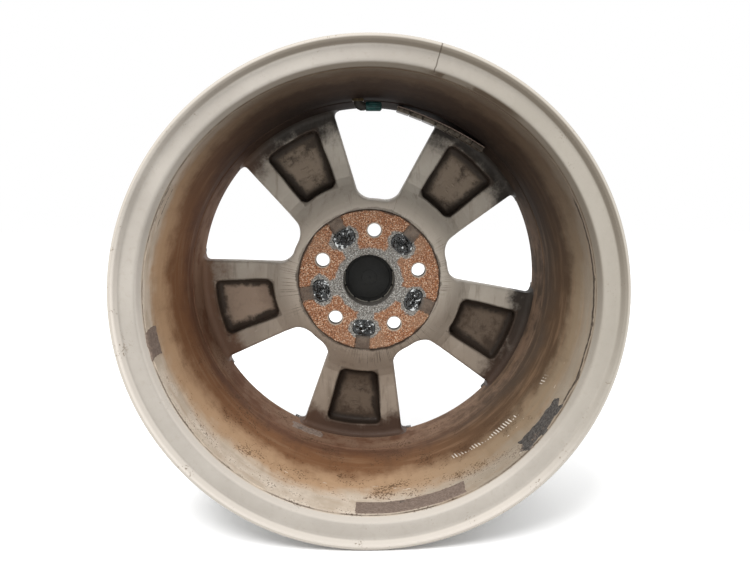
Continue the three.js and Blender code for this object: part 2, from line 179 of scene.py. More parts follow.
def wheel_section(corners, closed=True, step=0.0016):
    """Rounds (radius, depth, corner radius) rows given in millimetres into an outline for the lathe."""
    return rounded([(r * MM, depth_to_y(d * MM), c * MM) for r, d, c in corners], closed, step)


def lathe(name, profile, segments, material, body="wheel", axis="y", origin=(0, 0, 0), closed=True,
          warp=None):
    """Turns (radius, distance) points round an axis: a point is the radius round the circle and the
    distance along the axis. An open profile starts and ends on the axis, and is closed there by fans.
    warp(radius, distance, angle) may move the points of each ring, such as for flutes."""
    profile = np.asarray(profile, float)
    if not closed:
        poles = profile[[0, -1], 1]
        if warp is not None:
            poles = warp(np.zeros(2), poles, np.zeros(2))[1]
        profile = profile[1:-1]
    angle = np.arange(segments) * TURN / segments
    radius = np.repeat(profile[:, :1], segments, axis=1)
    distance = np.repeat(profile[:, 1:], segments, axis=1)
    angles = np.broadcast_to(angle, radius.shape)
    if warp is not None:
        radius, distance = warp(radius, distance, angles)
    u, v = radius * np.cos(angles), radius * np.sin(angles)
    frames = {"y": (u, distance, v), "x": (distance, v, u), "z": (v, u, distance)}
    points = np.stack([part.ravel() for part in frames[axis]], axis=1)
    faces = grid_faces(len(profile), segments, closed_rows=closed, closed_columns=True).tolist()
    if not closed:
        pole = {"y": (0, 1, 0), "x": (1, 0, 0), "z": (0, 0, 1)}[axis]
        ends = np.array(pole, float) * poles[:, None]
        first, last = len(points), len(points) + 1
        points = np.vstack([points, ends])
        ring = np.arange(segments)
        following = (ring + 1) % segments
        top = (len(profile) - 1) * segments
        faces += np.stack([np.full(segments, first), following, ring], axis=1).tolist()
        faces += np.stack([np.full(segments, last), top + ring, top + following], axis=1).tolist()
    return make_piece(name, points + np.array(origin, float), faces, material, body)


# ---- solids from distances -------------------------------------------------------------------------
# A solid is a function that gives, for arrays of points, roughly how far they are outside it.

def blend_union(a, b, radius):
    """The nearer of two solids, with a round fillet of that radius in the inner corner."""
    corner = np.hypot(np.maximum(radius - a, 0), np.maximum(radius - b, 0))
    return np.maximum(radius, np.minimum(a, b)) - corner


def blend_common(a, b, radius):
    """What two solids share, with the outer edge rounded to that radius."""
    corner = np.hypot(np.maximum(a + radius, 0), np.maximum(b + radius, 0))
    return np.minimum(-radius, np.maximum(a, b)) + corner


def blend_cut(a, b, radius):
    """The first solid less the second, with the rim of the cut rounded."""
    return blend_common(a, -b, radius)


def net(solid, radii, columns, depths, refine=3):
    """The surface of a solid that repeats at each spoke, found on a grid of radius, angle and depth.
    Each grid cell that the surface crosses gives one point, at the mean of its edges' crossings, and
    each grid edge that it crosses gives one quad between four such points. The points then slide
    along the distance's slope onto the surface, and the slopes there are the normals."""
    angles = -SECTOR / 2 + SECTOR * np.arange(columns) / columns
    r, a, d = np.meshgrid(radii, angles, depths, indexing="ij")
    value = solid(r, a, d)
    inside = value < 0
    shifts = [(i, j, k) for i in (0, 1) for j in (0, 1) for k in (0, 1)]

    def corner(array, i, j, k):
        turned = np.roll(array, -j, axis=1)
        return turned[i:i + array.shape[0] - 1, :, k:k + array.shape[2] - 1]

    full = sum(corner(inside, *s).astype(int) for s in shifts)
    cells = np.argwhere((full > 0) & (full < 8))
    number = np.full(full.shape, -1)
    number[tuple(cells.T)] = np.arange(len(cells))
    at_corner = {s: corner(value, *s)[tuple(cells.T)] for s in shifts}
    total, hits = np.zeros((len(cells), 3)), np.zeros(len(cells))
    for s in shifts:
        for axis in range(3):
            if s[axis]:
                continue
            other = tuple(1 if k == axis else s[k] for k in range(3))
            low, high = at_corner[s], at_corner[other]
            crossed = (low < 0) != (high < 0)
            share = np.where(crossed, low / np.where(crossed, low - high, 1), 0)
            place = np.tile(np.array(s, float), (len(cells), 1))
            place[:, axis] = share
            total += place * crossed[:, None]
            hits += crossed
    spot = cells + total / hits[:, None]
    point_r = np.interp(spot[:, 0], np.arange(len(radii)), radii)
    point_a = angles[0] + SECTOR * spot[:, 1] / columns
    point_d = np.interp(spot[:, 2], np.arange(len(depths)), depths)
    points = np.stack([point_r * np.cos(point_a), point_d, point_r * np.sin(point_a)], axis=1)

    def distance(p):
        bearing = (np.arctan2(p[:, 2], p[:, 0]) + SECTOR / 2) % SECTOR - SECTOR / 2
        return solid(np.hypot(p[:, 0], p[:, 2]), bearing, p[:, 1])

    def slope(p, reach=0.05 * MM):
        steps = np.eye(3) * reach
        return np.stack([(distance(p + s) - distance(p - s)) / (2 * reach) for s in steps], axis=1)

    limit = 1.2 * (radii[1] - radii[0])
    for _ in range(refine):
        g = slope(points)
        move = -(distance(points) / np.maximum((g ** 2).sum(axis=1), 0.2))[:, None] * g
        size = np.linalg.norm(move, axis=1)[:, None]
        points = points + move * np.minimum(1, limit / np.maximum(size, 1e-9))
    normals = slope(points)
    normals /= np.maximum(np.linalg.norm(normals, axis=1)[:, None], 1e-9)

    quads, shift_back = [], []
    for axis in range(3):
        ahead = np.roll(inside, -1, axis=axis)
        crossed = inside != ahead
        crossed[{0: np.s_[-1:], 1: np.s_[0:0], 2: np.s_[:, :, -1:]}[axis]] = False
        edge = np.argwhere(crossed)
        one, two = [k for k in range(3) if k != axis]
        for k in (one, two):
            if k != 1:
                edge = edge[(edge[:, k] > 0) & (edge[:, k] < inside.shape[k] - 1)]
        ring = []
        for step_one, step_two in ((-1, -1), (0, -1), (0, 0), (-1, 0)):
            cell = edge.copy()
            cell[:, one] += step_one
            cell[:, two] += step_two
            ring.append(cell)
        ring = np.stack(ring, axis=1)
        back = np.where(ring[:, :, 1] < 0, -1, 0)
        ring[:, :, 1] %= columns
        quad = number[ring[:, :, 0], ring[:, :, 1], ring[:, :, 2]]
        leaving = inside[tuple(edge.T)] ^ (axis == 1)
        quad[leaving] = quad[leaving][:, ::-1]
        back[leaving] = back[leaving][:, ::-1]
        quads.append(quad)
        shift_back.append(back)
    quads, shift_back = np.vstack(quads), np.vstack(shift_back)
    every_point, every_normal, every_quad = [], [], []
    for k in range(SPOKES):
        turn = FIRST_SPOKE + SECTOR * k
        for source, every in ((points, every_point), (normals, every_normal)):
            x, z = turned_place(source[:, 0], source[:, 2], turn)
            every.append(np.stack([x, source[:, 1], z], axis=1))
        every_quad.append(quads + ((k + shift_back) % SPOKES) * len(points))
    points = np.vstack(every_point)
    points[:, 1] += RIM_START
    quads = np.vstack(every_quad)
    return points, quads, np.vstack(every_normal)


# ---- barrel ----------------------------------------------------------------------------------------

def barrel_wall(depth):
    """Inner radius of the barrel between the spokes' end and the windows, by depth."""
    return np.interp(depth, mm(150, 178, 198), mm(193.4, 190.6, 190.6))


def make_barrel(material):
    """The section's rows are radius, depth and corner radius in millimetres, from the car-side lip round
    by the tyre side."""
    flange = FLANGE_RADIUS / MM
    width = RIM_WIDTH / MM
    section = [
        (229.8, 0.2, 2.4), (flange - 1.2, 0, 3.2), (flange, 6.5, 5), (230.2, 11.5, 3.5), (220.5, 11.8, 5),
        (217.4, 32, 3), (218.2, 38, 3), (213, 49, 6), (211.5, 60, 8), (203.5, 118, 8), (199.3, 130, 8),
        (199.3, 165, 10), (214, 178, 4), (218.2, 181.5, 2.5), (217.7, 186, 2), (220.5, width - 11.8, 5),
        (230.2, width - 11.5, 3.5), (flange, width - 6.5, 5), (flange - 1.2, width, 3.2),
        (226, width, 2), (222, width - 2.5, 4), (194, 201, 3), (190.6, 198.2, 1.6), (190.6, 178, 20),
        (193.2, 151.2, 0.4), (194.0, 150.4, 0.4), (194.6, 132, 40), (200.2, 100, 60), (205.8, 60, 30),
        (207.2, 49, 12), (208.0, 19.4, 0.4), (208.9, 18.9, 0.3), (209.2, 17.0, 2.0), (212.6, 8.0, 5.0),
        (225.8, 6.4, 3.0),
    ]
    barrel = lathe("barrel_forging", wheel_section(section, step=0.0022), 288, material)
    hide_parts("barrel")


# ---- spokes and hub --------------------------------------------------------------------------------

SPOKE_FLARE = 0.2275
SPOKE_ROOT = 39.3 * MM
ROOT_STATION = 97.4 * MM
WINDOW_CORNER = 13 * MM
POCKET_DEPTH = 12.5 * MM
POCKET_MIDDLE = 143 * MM
POCKET_SPLAY = 0.19
DRAFT_PLANE = 190 * MM
BOLT_RADIUS = 7.5 * MM
BOLT_SEAT_DEPTH = 167 * MM


def spoke_sides(along, across):
    """Distance outside a spoke's straight sides, which open out by SPOKE_FLARE towards the barrel."""
    half_width = SPOKE_ROOT + SPOKE_FLARE * (along - ROOT_STATION)
    return (np.abs(across) - half_width) / math.hypot(1, SPOKE_FLARE)


def box_distance(x, y, half_x, half_y, corner):
    """Distance outside a rectangle with rounded corners."""
    dx, dy = np.abs(x) - half_x + corner, np.abs(y) - half_y + corner
    return np.hypot(np.maximum(dx, 0), np.maximum(dy, 0)) + np.minimum(np.maximum(dx, dy), 0) - corner


def spoke_back(radius):
    """Depth of the spokes' back face: it drops away from the hub, runs level and turns up at the barrel."""
    return np.interp(radius, mm(60, 79, 84, 90, 96, 102, 108, 116, 130, 175, 200),
                     mm(156, 156.2, 159.0, 163.0, 167.5, 172.0, 176.2, 180.4, 183.0, 185.6, 186.4))


def spoke_front(radius):
    """Depth of the spokes' street face, a shallow dish."""
    return np.interp(radius, mm(30, 85, 115, 150, 175, 200), mm(197, 198, 200.5, 205.5, 207, 206.5))


def star(radius, angle, depth):
    """Hub web and five spokes: an outline in the wheel's plane, cut off by the back and street faces."""
    along, across = radius * np.cos(angle), radius * np.sin(angle)
    draft = 0.03 * (depth - DRAFT_PLANE)
    outline = blend_union(spoke_sides(along, across), radius - WEB_RADIUS, WINDOW_CORNER) - draft
    edge = 3.2 * MM
    back = (spoke_back(radius) - depth) * np.where((radius > 84 * MM) & (radius < 120 * MM), 0.8, 1)
    front = depth - spoke_front(radius)
    body = blend_common(outline, back, edge)
    body = blend_common(body, front, 7 * MM)
    pocket_half = 27 * MM + POCKET_SPLAY * (along - POCKET_MIDDLE)
    side = (np.abs(across) - pocket_half) * 0.98
    ends = np.abs(radius - POCKET_MIDDLE) - 33.5 * MM
    corner = 7 * MM
    pocket = np.hypot(np.maximum(side + corner, 0), np.maximum(ends + corner, 0))
    pocket = pocket + np.minimum(np.maximum(side, ends) + corner, 0) - corner
    pocket = pocket + 0.12 * (depth - spoke_back(radius))
    pocket = blend_common(pocket, depth - spoke_back(radius) - POCKET_DEPTH, 5 * MM)
    body = blend_cut(body, pocket, 1.6 * MM)
    wall = barrel_wall(depth) + 0.05 * MM - radius
    joined = blend_union(body, wall, 7 * MM)
    root = np.maximum(radius - barrel_wall(depth) - 1.5 * MM, body - 13 * MM)
    joined = np.maximum(joined, root)
    joined = np.maximum(joined, 78.2 * MM - radius)
    return np.maximum(joined, depth - 211 * MM)


def make_spokes(material):
    radii = np.arange(77.2, 194.9, 1.85) * MM
    depths = np.arange(154, 213.5, 1.85) * MM
    points, quads, normals = net(star, radii, 122, depths)
    piece = make_piece("five_spokes", points, quads.tolist(), material, normals=normals)
    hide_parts(*[f"spoke_{k + 1}" for k in range(SPOKES)])


def pad(radius, angle, depth):
    """Mounting pad: a ring with a bore, five bolt holes between the spokes and five cored pockets."""
    ring = np.maximum(radius - PAD_RADIUS, BORE_RADIUS - radius)
    body = blend_common(ring, PAD_DEPTH - depth, 1.2 * MM)
    body = blend_common(body, depth - 197.2 * MM, 2 * MM)
    seat_rim = np.maximum(radius - 31.6 * MM, 189.6 * MM - depth)
    body = blend_cut(body, seat_rim, 0.8 * MM)
    bolt_angle = SECTOR / 2 - np.abs(angle)
    from_bolt = np.sqrt(np.maximum(radius ** 2 + BOLT_CIRCLE ** 2
                                   - 2 * radius * BOLT_CIRCLE * np.cos(bolt_angle), 0))
    body = blend_cut(body, from_bolt - BOLT_RADIUS, 0.7 * MM)
    cone = np.maximum((from_bolt - BOLT_RADIUS - (depth - BOLT_SEAT_DEPTH)) * 0.7, from_bolt - 12.5 * MM)
    well = np.maximum(from_bolt - 14 * MM, 173 * MM - depth)
    body = blend_cut(body, np.maximum(cone, BOLT_SEAT_DEPTH - depth), 0.5 * MM)
    body = blend_cut(body, well, 1.2 * MM)
    along, across = radius * np.cos(angle), radius * np.sin(angle)
    core = box_distance(along - CORE_CIRCLE - 6 * across ** 2, across, 8.6 * MM, 12.6 * MM, 7.5 * MM)
    core = np.maximum(core + 0.1 * (depth - PAD_DEPTH), depth - 167 * MM)
    channel_half = 6.6 * MM + 0.1 * (along - CORE_CIRCLE)
    channel = np.maximum(np.abs(across) - channel_half, CORE_CIRCLE - along)
    channel = np.maximum(channel, depth - PAD_DEPTH - 2.0 * MM)
    body = blend_cut(body, core, 0.9 * MM)
    return blend_cut(body, channel, 0.8 * MM)


def make_pad(material):
    radii = np.arange(27.5, 80.8, 1.32) * MM
    depths = np.arange(153, 200.5, 1.48) * MM
    points, quads, normals = net(pad, radii, 114, depths)
    piece = make_piece("hub_pad", points, quads.tolist(), material, normals=normals)
    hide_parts("hub")


# ---- small solids ----------------------------------------------------------------------------------

def loft(name, rings, material, body="wheel", smooth=35):
    """Closed rings of points, one after another along a length, skinned; each end is closed by a fan
    about the mean of its ring."""
    rings = np.asarray(rings, float)
    stations, around = rings.shape[:2]
    points = np.vstack([rings.reshape(-1, 3), rings[0].mean(axis=0)[None], rings[-1].mean(axis=0)[None]])
    quads = grid_faces(stations, around, closed_columns=True)
    ring = np.arange(around)
    following = (ring + 1) % around
    first = np.full(around, stations * around)
    start = np.stack([first, following, ring], axis=1)
    last_ring = (stations - 1) * around
    finish = np.stack([first + 1, last_ring + ring, last_ring + following], axis=1)
    piece = make_piece(name, points, quads.tolist() + start.tolist() + finish.tolist(), material, body)
    sharpen(piece, smooth)
    return piece


def round_rectangle(half_x, half_y, corner, steps=5):
    """A rectangle's outline with its corners rounded, as (x, y) points."""
    outline = []
    for k, (sx, sy) in enumerate(((1, 1), (-1, 1), (-1, -1), (1, -1))):
        a = math.pi / 2 * (k + np.arange(steps + 1) / steps)
        outline.append(np.stack([sx * (half_x - corner) + corner * np.cos(a),
                                 sy * (half_y - corner) + corner * np.sin(a)], axis=1))
    return np.vstack(outline)


def ripple(u, v, seed, octaves=3):
    """Smooth unevenness from about -1 to 1: a sum of sines whose directions and phases come from a seed."""
    draw = np.random.default_rng(seed)
    total = 0
    for k in range(octaves):
        for _ in range(3):
            bearing, phase = draw.uniform(0, TURN, 2)
            pace = 2 ** k * draw.uniform(0.8, 1.3)
            total = total + np.sin(pace * (u * math.cos(bearing) + v * math.sin(bearing)) + phase) / 1.8 ** k
    return total / 4


# ---- centre cap ------------------------------------------------------------------------------------

CAP_SLOTS = 10


def make_centre_cap(plastic, metal):
    """The cap's shell turns a section about the wheel's axis, and its skirt is cut by ten slots. On the
    badge, the section is a low dome inside a raised bead."""
    section = [(28.15, 177.5, 0.3), (28.15, 189.9, 0.3), (31.1, 189.9, 0.3), (31.1, 194, 0.9),
               (29.6, 195.2, 1.2), (26.6, 195.6, 0.5), (26.6, 194.25, 0), (0, 194.25, 0)]
    face = [(0, 180.0, 0), (1.5, 180.0, 0.2), (1.7, 180.55, 0.2), (8.2, 180.5, 0), (8.4, 180.3, 0),
            (8.8, 180.3, 0), (9.0, 180.5, 0), (23.6, 180.5, 0), (24.0, 180.9, 0.2), (26.5, 180.9, 0.3),
            (27.0, 180.4, 0.2), (27.2, 177.5, 0.2)]
    profile = wheel_section(face + section, closed=False, step=0.0012)

    def slots(radius, distance, angle):
        from_slot = np.abs((angle * CAP_SLOTS / TURN) % 1 - 0.5) / CAP_SLOTS * TURN * radius
        cut = (from_slot < 1.1 * MM) & (radius > 26.8 * MM) & (distance < depth_to_y(184 * MM))
        floor = depth_to_y(180.9 * MM)
        return (np.where(cut, np.minimum(radius, 27.1 * MM), radius),
                np.where(cut, np.maximum(distance, floor), distance))

    shell = lathe("cap_shell_turned", profile, 480, plastic, "centre_cap", closed=False, warp=slots)
    sharpen(shell)
    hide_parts("cap_shell")
    dome = [(0, 194.5, 0), (26.2, 194.5, 0.1), (26.2, 195.8, 0.5), (25.0, 196.3, 0.4), (24.2, 195.7, 0.4),
            (22.5, 195.9, 1.0), (0, 196.6, 0)]
    profile = wheel_section(dome, closed=False, step=0.0012)
    badge = lathe("cap_badge_plain", profile, 160, metal, "centre_cap", closed=False)
    sharpen(badge)
    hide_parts("cap_badge")


# ---- grease in the cored pockets -------------------------------------------------------------------

def make_grease(material):
    """Each lump is a low dome over a pocket: its edge is the pocket's outline with uneven reach, and its
    height falls from the middle to the edge, with smooth lumps added."""
    ring = np.linspace(0, 1, 22)
    top = np.stack([ring, 1 - ring ** 3], axis=1)
    under = np.array([[0.97, -0.6], [0.6, -1.6], [0, -1.8]])
    profile = np.vstack([top, under])
    for k in range(SPOKES):
        turn = FIRST_SPOKE + k * SECTOR
        x, z = turned_place(CORE_CIRCLE, 0, turn)

        def lump(share, height, angle, seed=k, turn=turn):
            local = angle - turn
            oval = (np.abs(np.cos(local)) / 11.8) ** 2.4 + (np.abs(np.sin(local)) / 15.2) ** 2.4
            reach = 1 / oval ** (1 / 2.6)
            reach = reach * (1 + 0.07 * ripple(3 * np.cos(local), 3 * np.sin(local), 40 + seed))
            u, v = share * np.cos(angle), share * np.sin(angle)
            relief = ripple(6 * u, 6 * v, 60 + seed) + 0.5 * ripple(14 * u, 14 * v, 80 + seed, 2)
            above = height > 0
            edge = np.clip((1 - share) * 4, 0, 1)
            rise = np.where(above, (1.3 + 2.1 * relief) * edge * height, 2.6 * height)
            return share * reach * MM, (0.35 - rise) * MM

        piece = lathe(f"grease_{k + 1}", profile, 72, material, closed=False, warp=lump,
                      origin=(x, depth_to_y(PAD_DEPTH), z))


# ---- tyre valve ------------------------------------------------------------------------------------

VALVE_X = -11.4 * MM
VALVE_Y = depth_to_y(136 * MM)
STEM_Z = 186.6 * MM
STEM_RADIUS = 3.85 * MM
FOOT_Z = 204.5 * MM
BORE_RADIUS_OF_STEM = 1.92 * MM


def along_elbow(distance, bend):
    """Place and heading, in the XZ plane, at a distance along the valve: down the shank from its foot,
    round a bend, and out along +X."""
    down = FOOT_Z - STEM_Z - bend
    arc = bend * math.pi / 2
    turned = np.clip((distance - down) / bend, 0, math.pi / 2)
    past = np.maximum(distance - down - arc, 0)
    x = VALVE_X + bend * (1 - np.cos(turned)) + past
    z = FOOT_Z - np.minimum(distance, down) - bend * np.sin(turned)
    return x, z, turned


def make_valve(rubber, brass, plastic):
    """The elbow carries circles of given radius along the bent path. The nut is a circle cut to a hexagon,
    and the cap a circle cut by twelve flutes."""
    bend = 5 * MM
    down = FOOT_Z - STEM_Z - bend
    start = down + bend * math.pi / 2
    mouth = start + 3 * MM - (VALVE_X + bend)
    threads = np.arange(0, 5.41, 0.2) * MM
    thread_radius = STEM_RADIUS - 0.16 * MM * (1 + np.cos(TURN * threads / (0.8 * MM)))
    stations = [(0, 0), (0, 6.2), (0.4, 7.1), (1.2, 7.5), (2.3, 7.5), (2.4, 4.1), (7, 4.1), (9.6, 4.1),
                (11.4, 4.5), (13.4, 4.75), (15.4, 4.85), (17.4, 4.85), (19.4, 4.75), (21.4, 4.5), (22.9, 4.1),
                (23.6, 3.85)]
    stations = [(s * MM, r * MM) for s, r in stations]
    stations += [(mouth - 6.0 * MM + s, r) for s, r in zip(threads, thread_radius)]
    floor = mouth - 9.7 * MM
    stations += [(mouth - 0.3 * MM, 3.3 * MM), (mouth, 3.0 * MM), (mouth, 2.1 * MM),
                 (mouth - 0.3 * MM, BORE_RADIUS_OF_STEM), (floor, BORE_RADIUS_OF_STEM), (floor, 0)]
    s, radius = np.array(stations).T
    x, z, turned = along_elbow(s, bend)
    angle = np.arange(48) * TURN / 48
    across = np.stack([np.cos(turned), np.zeros_like(turned), np.sin(turned)], axis=1)
    side = np.array([0, 1, 0])
    centre = np.stack([x, np.full_like(x, VALVE_Y), z], axis=1)
    rings = centre[:, None] + radius[:, None, None] * (np.cos(angle)[None, :, None] * across[:, None]
                                                       + np.sin(angle)[None, :, None] * side)
    piece = loft("valve_body", rings[1:-1], rubber, smooth=50)
    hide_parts("valve_elbow")

    def hexagon(radius, distance, angle):
        flat = 6.9 * MM * math.cos(math.pi / 6) / np.cos((angle % (math.pi / 3)) - math.pi / 6)
        return np.where(radius > 5 * MM, np.minimum(radius, flat), radius), distance

    low, high = 191.7 * MM, 194.7 * MM
    profile = [(4.4 * MM, low), (6.1 * MM, low), (6.9 * MM, low + 0.5 * MM), (6.9 * MM, high - 0.5 * MM),
               (6.1 * MM, high), (4.4 * MM, high)]
    nut = lathe("valve_nut_hexagon", profile, 96, brass, axis="z", origin=(VALVE_X, VALVE_Y, 0), warp=hexagon)
    sharpen(nut, 25)
    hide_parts("valve_nut")

    def flutes(radius, distance, angle):
        groove = 0.55 * MM * np.clip(np.cos(12 * angle), 0, 1) ** 0.7
        grip = (radius > 4.6 * MM) & (distance > 0.2 * MM)
        return np.where(grip, radius - groove, radius), distance

    section = [(4.15, -3.2, 0.1), (4.9, -3.2, 0.25), (4.9, 0.0, 0), (4.9, 0.4, 0), (4.9, 11.6, 0.8),
               (3.4, 13.2, 0.5), (0, 13.2, 0)]
    inner = [(0, 6.4, 0), (2.2, 6.4, 0), (4.15, 4.8, 0)]
    corners = [(r * MM, d * MM, c * MM) for r, d, c in inner + section]
    profile = rounded(corners, closed=False, step=0.0007)
    cap = lathe("valve_cap_fluted", profile, 192, plastic, "valve_cap", axis="x", closed=False,
                origin=(0, VALVE_Y, STEM_Z), warp=flutes)
    sharpen(cap, 40)
    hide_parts("valve_cap")


# ---- balance weights and old tape ------------------------------------------------------------------

BEND_RADIUS = 400 * MM
WEIGHT_MIDDLE = math.radians(65)
WEIGHT_SPAN = math.radians(15.7)
STRIP_END_RADIUS = 191.3 * MM
WEIGHTS = 7


def make_weights(metal, foam):
    """Each block carries a rounded rectangle along a short arc, drawn in a little at both ends. The tape
    is the same section, thin, along the whole strip."""
    half = STRIP_END_RADIUS * math.sin(WEIGHT_SPAN)
    centre = STRIP_END_RADIUS * math.cos(WEIGHT_SPAN) - math.sqrt(BEND_RADIUS ** 2 - half ** 2)
    half_angle = math.asin(half / BEND_RADIUS)
    pitch = 2 * half_angle / WEIGHTS
    spin = np.array([math.cos(WEIGHT_MIDDLE), math.sin(WEIGHT_MIDDLE)])
    lift = np.array([-spin[1], spin[0]])

    def strip(name, inner, outer, start, stop, from_depth, to_depth, corner, inset, material):
        length = (stop - start) * BEND_RADIUS
        ends = np.array([0, 0.12, 0.35, 0.7, 1.0, 1.4]) * MM
        shrink = inset * np.array([1, 0.6, 0.3, 0.1, 0.03, 0])
        inner_stations = np.linspace(1.4 * MM, length - 1.4 * MM, 8)[1:-1]
        s = np.concatenate([ends, inner_stations, length - ends[::-1]])
        drawn = np.concatenate([shrink, np.zeros(len(inner_stations)), shrink[::-1]])
        outline = round_rectangle((outer - inner) / 2, (to_depth - from_depth) / 2, corner)
        rings = []
        for distance, cut in zip(s, drawn):
            a = start + distance / BEND_RADIUS
            scale = 1 - cut / np.array([(outer - inner) / 2, (to_depth - from_depth) / 2])
            section = outline * scale
            r = (outer + inner) / 2 + section[:, 0]
            x, z = centre + r * math.cos(a), r * math.sin(a)
            flat = np.outer(x, spin) + np.outer(z, lift)
            rings.append(np.stack([flat[:, 0], depth_to_y((from_depth + to_depth) / 2 + section[:, 1]),
                                   flat[:, 1]], axis=1))
        return loft(name, rings, material)

    outer = BEND_RADIUS - 1.3 * MM
    gap = 0.25 * MM / BEND_RADIUS
    for k in range(WEIGHTS):
        start = -half_angle + pitch * k + gap
        block = strip(f"weight_block_{k + 1}", outer - 4.3 * MM, outer, start, start + pitch - 2 * gap,
                      148 * MM, 167 * MM, 0.7 * MM, 0.6 * MM, metal)
        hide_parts(f"weight_{k + 1}")
    tape = strip("weight_tape_foam", BEND_RADIUS - 1 * MM, BEND_RADIUS, -half_angle, half_angle,
                 148.5 * MM, 166.5 * MM, 0.3 * MM, 0.2 * MM, foam)
    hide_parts("weight_tape")


def wall_radius(depth):
    """Radius of the barrel's open side by depth, from the lip to the windows."""
    return np.interp(depth, mm(3, 11, 15.5, 17.5, 19.5, 49, 60, 100, 132, 150.4, 178, 198),
                     mm(223, 213, 210.4, 209.5, 208.6, 207.2, 205.8, 200.2, 194.6, 193.9, 190.6, 190.6))


OLD_TAPES = (
    ("bottom", 266.0, 296.5, 19.8, 43.0, 0.8),
    ("right", 315.0, 331.0, 19.8, 45.0, 3.2),
    ("left", 187.6, 195.2, 16.5, 44.0, 2.0),
    ("inner", 242.5, 253.5, 163.5, 177.0, 2.6),
)


def make_old_tapes(foam):
    """Each pad is a grid over bearing and depth laid on the wall, with ragged edges, a rough top, and a
    thickness that goes to nothing at its border."""
    for seed, (name, start, stop, near, far, ragged) in enumerate(OLD_TAPES):
        rows, columns = int((stop - start) * 5), 30
        u, v = np.meshgrid(np.linspace(0, 1, rows), np.linspace(0, 1, columns), indexing="ij")
        length = math.radians(stop - start) * 0.2
        across = (far - near) * MM
        edge_u = ripple(v * 9, v * 0, 10 + seed) * ragged * MM / length
        edge_v = ripple(u * 14, u * 0 + v.round(), 20 + seed) * ragged * MM / across
        bearing = np.radians(start + (stop - start) * (u + edge_u * np.abs(2 * u - 1) ** 3))
        depth = near * MM + across * (v + edge_v * np.abs(2 * v - 1) ** 3)
        border = np.minimum(np.minimum(u, 1 - u) * length, np.minimum(v, 1 - v) * across) / (0.7 * MM)
        rough = 0.75 + 0.25 * ripple(u * length / MM / 1.6, v * across / MM / 1.6, 30 + seed)
        thick = np.clip(border, 0.06, 1) * rough * 1.2 * MM
        shell = []
        for lift in (0.12 * MM, 0.12 * MM + thick):
            r = wall_radius(depth) - lift
            shell.append(np.stack([r * np.cos(bearing), depth_to_y(depth), r * np.sin(bearing)], axis=-1))
        base, top = shell[0].reshape(-1, 3), shell[1].reshape(-1, 3)
        sheet = grid_faces(rows, columns)
        count = rows * columns
        number = np.arange(count).reshape(rows, columns)
        loop = np.concatenate([number[0, :], number[1:, -1], number[-1, -2::-1], number[-2:0:-1, 0]])
        ahead = np.roll(loop, -1)
        walls = np.stack([loop, ahead, ahead + count, loop + count], axis=1)
        faces = np.vstack([sheet[:, ::-1], sheet + count, walls])
        points = np.vstack([base, top])
        pad_piece = make_piece(f"old_tape_{name}_pad", points, faces.tolist(), foam)
        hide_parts(f"old_tape_{name}")


def make_casting_marks(material):
    """Plain raised bars and a plain dial ring on the floors of the spokes' pockets."""
    def bar(name, spoke, along, across, length, width, slant):
        turn = FIRST_SPOKE + SECTOR * spoke
        outline = round_rectangle(length / 2, width / 2, width * 0.3, 3)
        a = math.radians(slant)
        u = along + outline[:, 0] * math.cos(a) - outline[:, 1] * math.sin(a)
        v = across + outline[:, 0] * math.sin(a) + outline[:, 1] * math.cos(a)
        middle_u, middle_v = u.mean(), v.mean()
        rings = []
        for scale, height in ((1, -0.6), (1, 0.35), (0.82, 0.6), (0.5, 0.66)):
            p, q = middle_u + (u - middle_u) * scale, middle_v + (v - middle_v) * scale
            floor = spoke_back(np.hypot(p, q)) + POCKET_DEPTH
            x, z = turned_place(p, q, turn)
            rings.append(np.stack([x, depth_to_y(floor - height * MM), z], axis=1))
        piece = loft(name, rings, material, smooth=60)

    for spoke, rows, start, gap, width in ((0, 3, 132, 5.2, 15), (1, 4, 126, 5.5, 9), (2, 3, 128, 6.2, 18),
                                           (3, 2, 150, 5.5, 13), (4, 4, 134, 5.0, 12)):
        for row in range(rows):
            bar(f"cast_bar_{spoke + 1}_{row + 1}", spoke, (start + gap * row) * MM, (row % 2 - 0.5) * 3 * MM,
                2.0 * MM, width * MM, 0)
    for spoke, along, across in ((3, 131, 2), (1, 154, -9)):
        x, z = turned_place(along * MM, across * MM, FIRST_SPOKE + SECTOR * spoke)
        floor = depth_to_y(float(spoke_back(along * MM)) + POCKET_DEPTH)
        section = ((6.2, 0.6, 0), (5.0, 0.6, 0), (5.1, -0.7, 0.2), (6.1, -0.7, 0.2))
        ring = rounded([(r * MM, floor + d * MM, c * MM) for r, d, c in section], step=0.0006)
        dial = lathe(f"cast_dial_{spoke + 1}", ring, 48, material, origin=(x, 0, z))


# ---- materials -------------------------------------------------------------------------------------

class Value:
    """A shader socket that takes part in Python arithmetic: each operator adds one Math node."""

    def __init__(self, shader, socket):
        self.shader, self.socket = shader, socket

    def _math(self, operation, other, swap=False):
        first, second = (other, self) if swap else (self, other)
        return self.shader.node("ShaderNodeMath", {"operation": operation}, {0: first, 1: second})

    def __add__(self, other):
        return self._math("ADD", other)

    __radd__ = __add__

    def __sub__(self, other):
        return self._math("SUBTRACT", other)

    def __rsub__(self, other):
        return self._math("SUBTRACT", other, swap=True)

    def __mul__(self, other):
        return self._math("MULTIPLY", other)

    __rmul__ = __mul__

    def __truediv__(self, other):
        return self._math("DIVIDE", other)

    def __pow__(self, other):
        return self._math("POWER", other)

    def __abs__(self):
        return self._math("ABSOLUTE", 0)

    def sin(self):
        return self._math("SINE", 0)

    def cos(self):
        return self._math("COSINE", 0)

    def or_more(self, other):
        """The larger of the two."""
        return self._math("MAXIMUM", other)

    def __mod__(self, other):
        return self._math("FLOORED_MODULO", other)


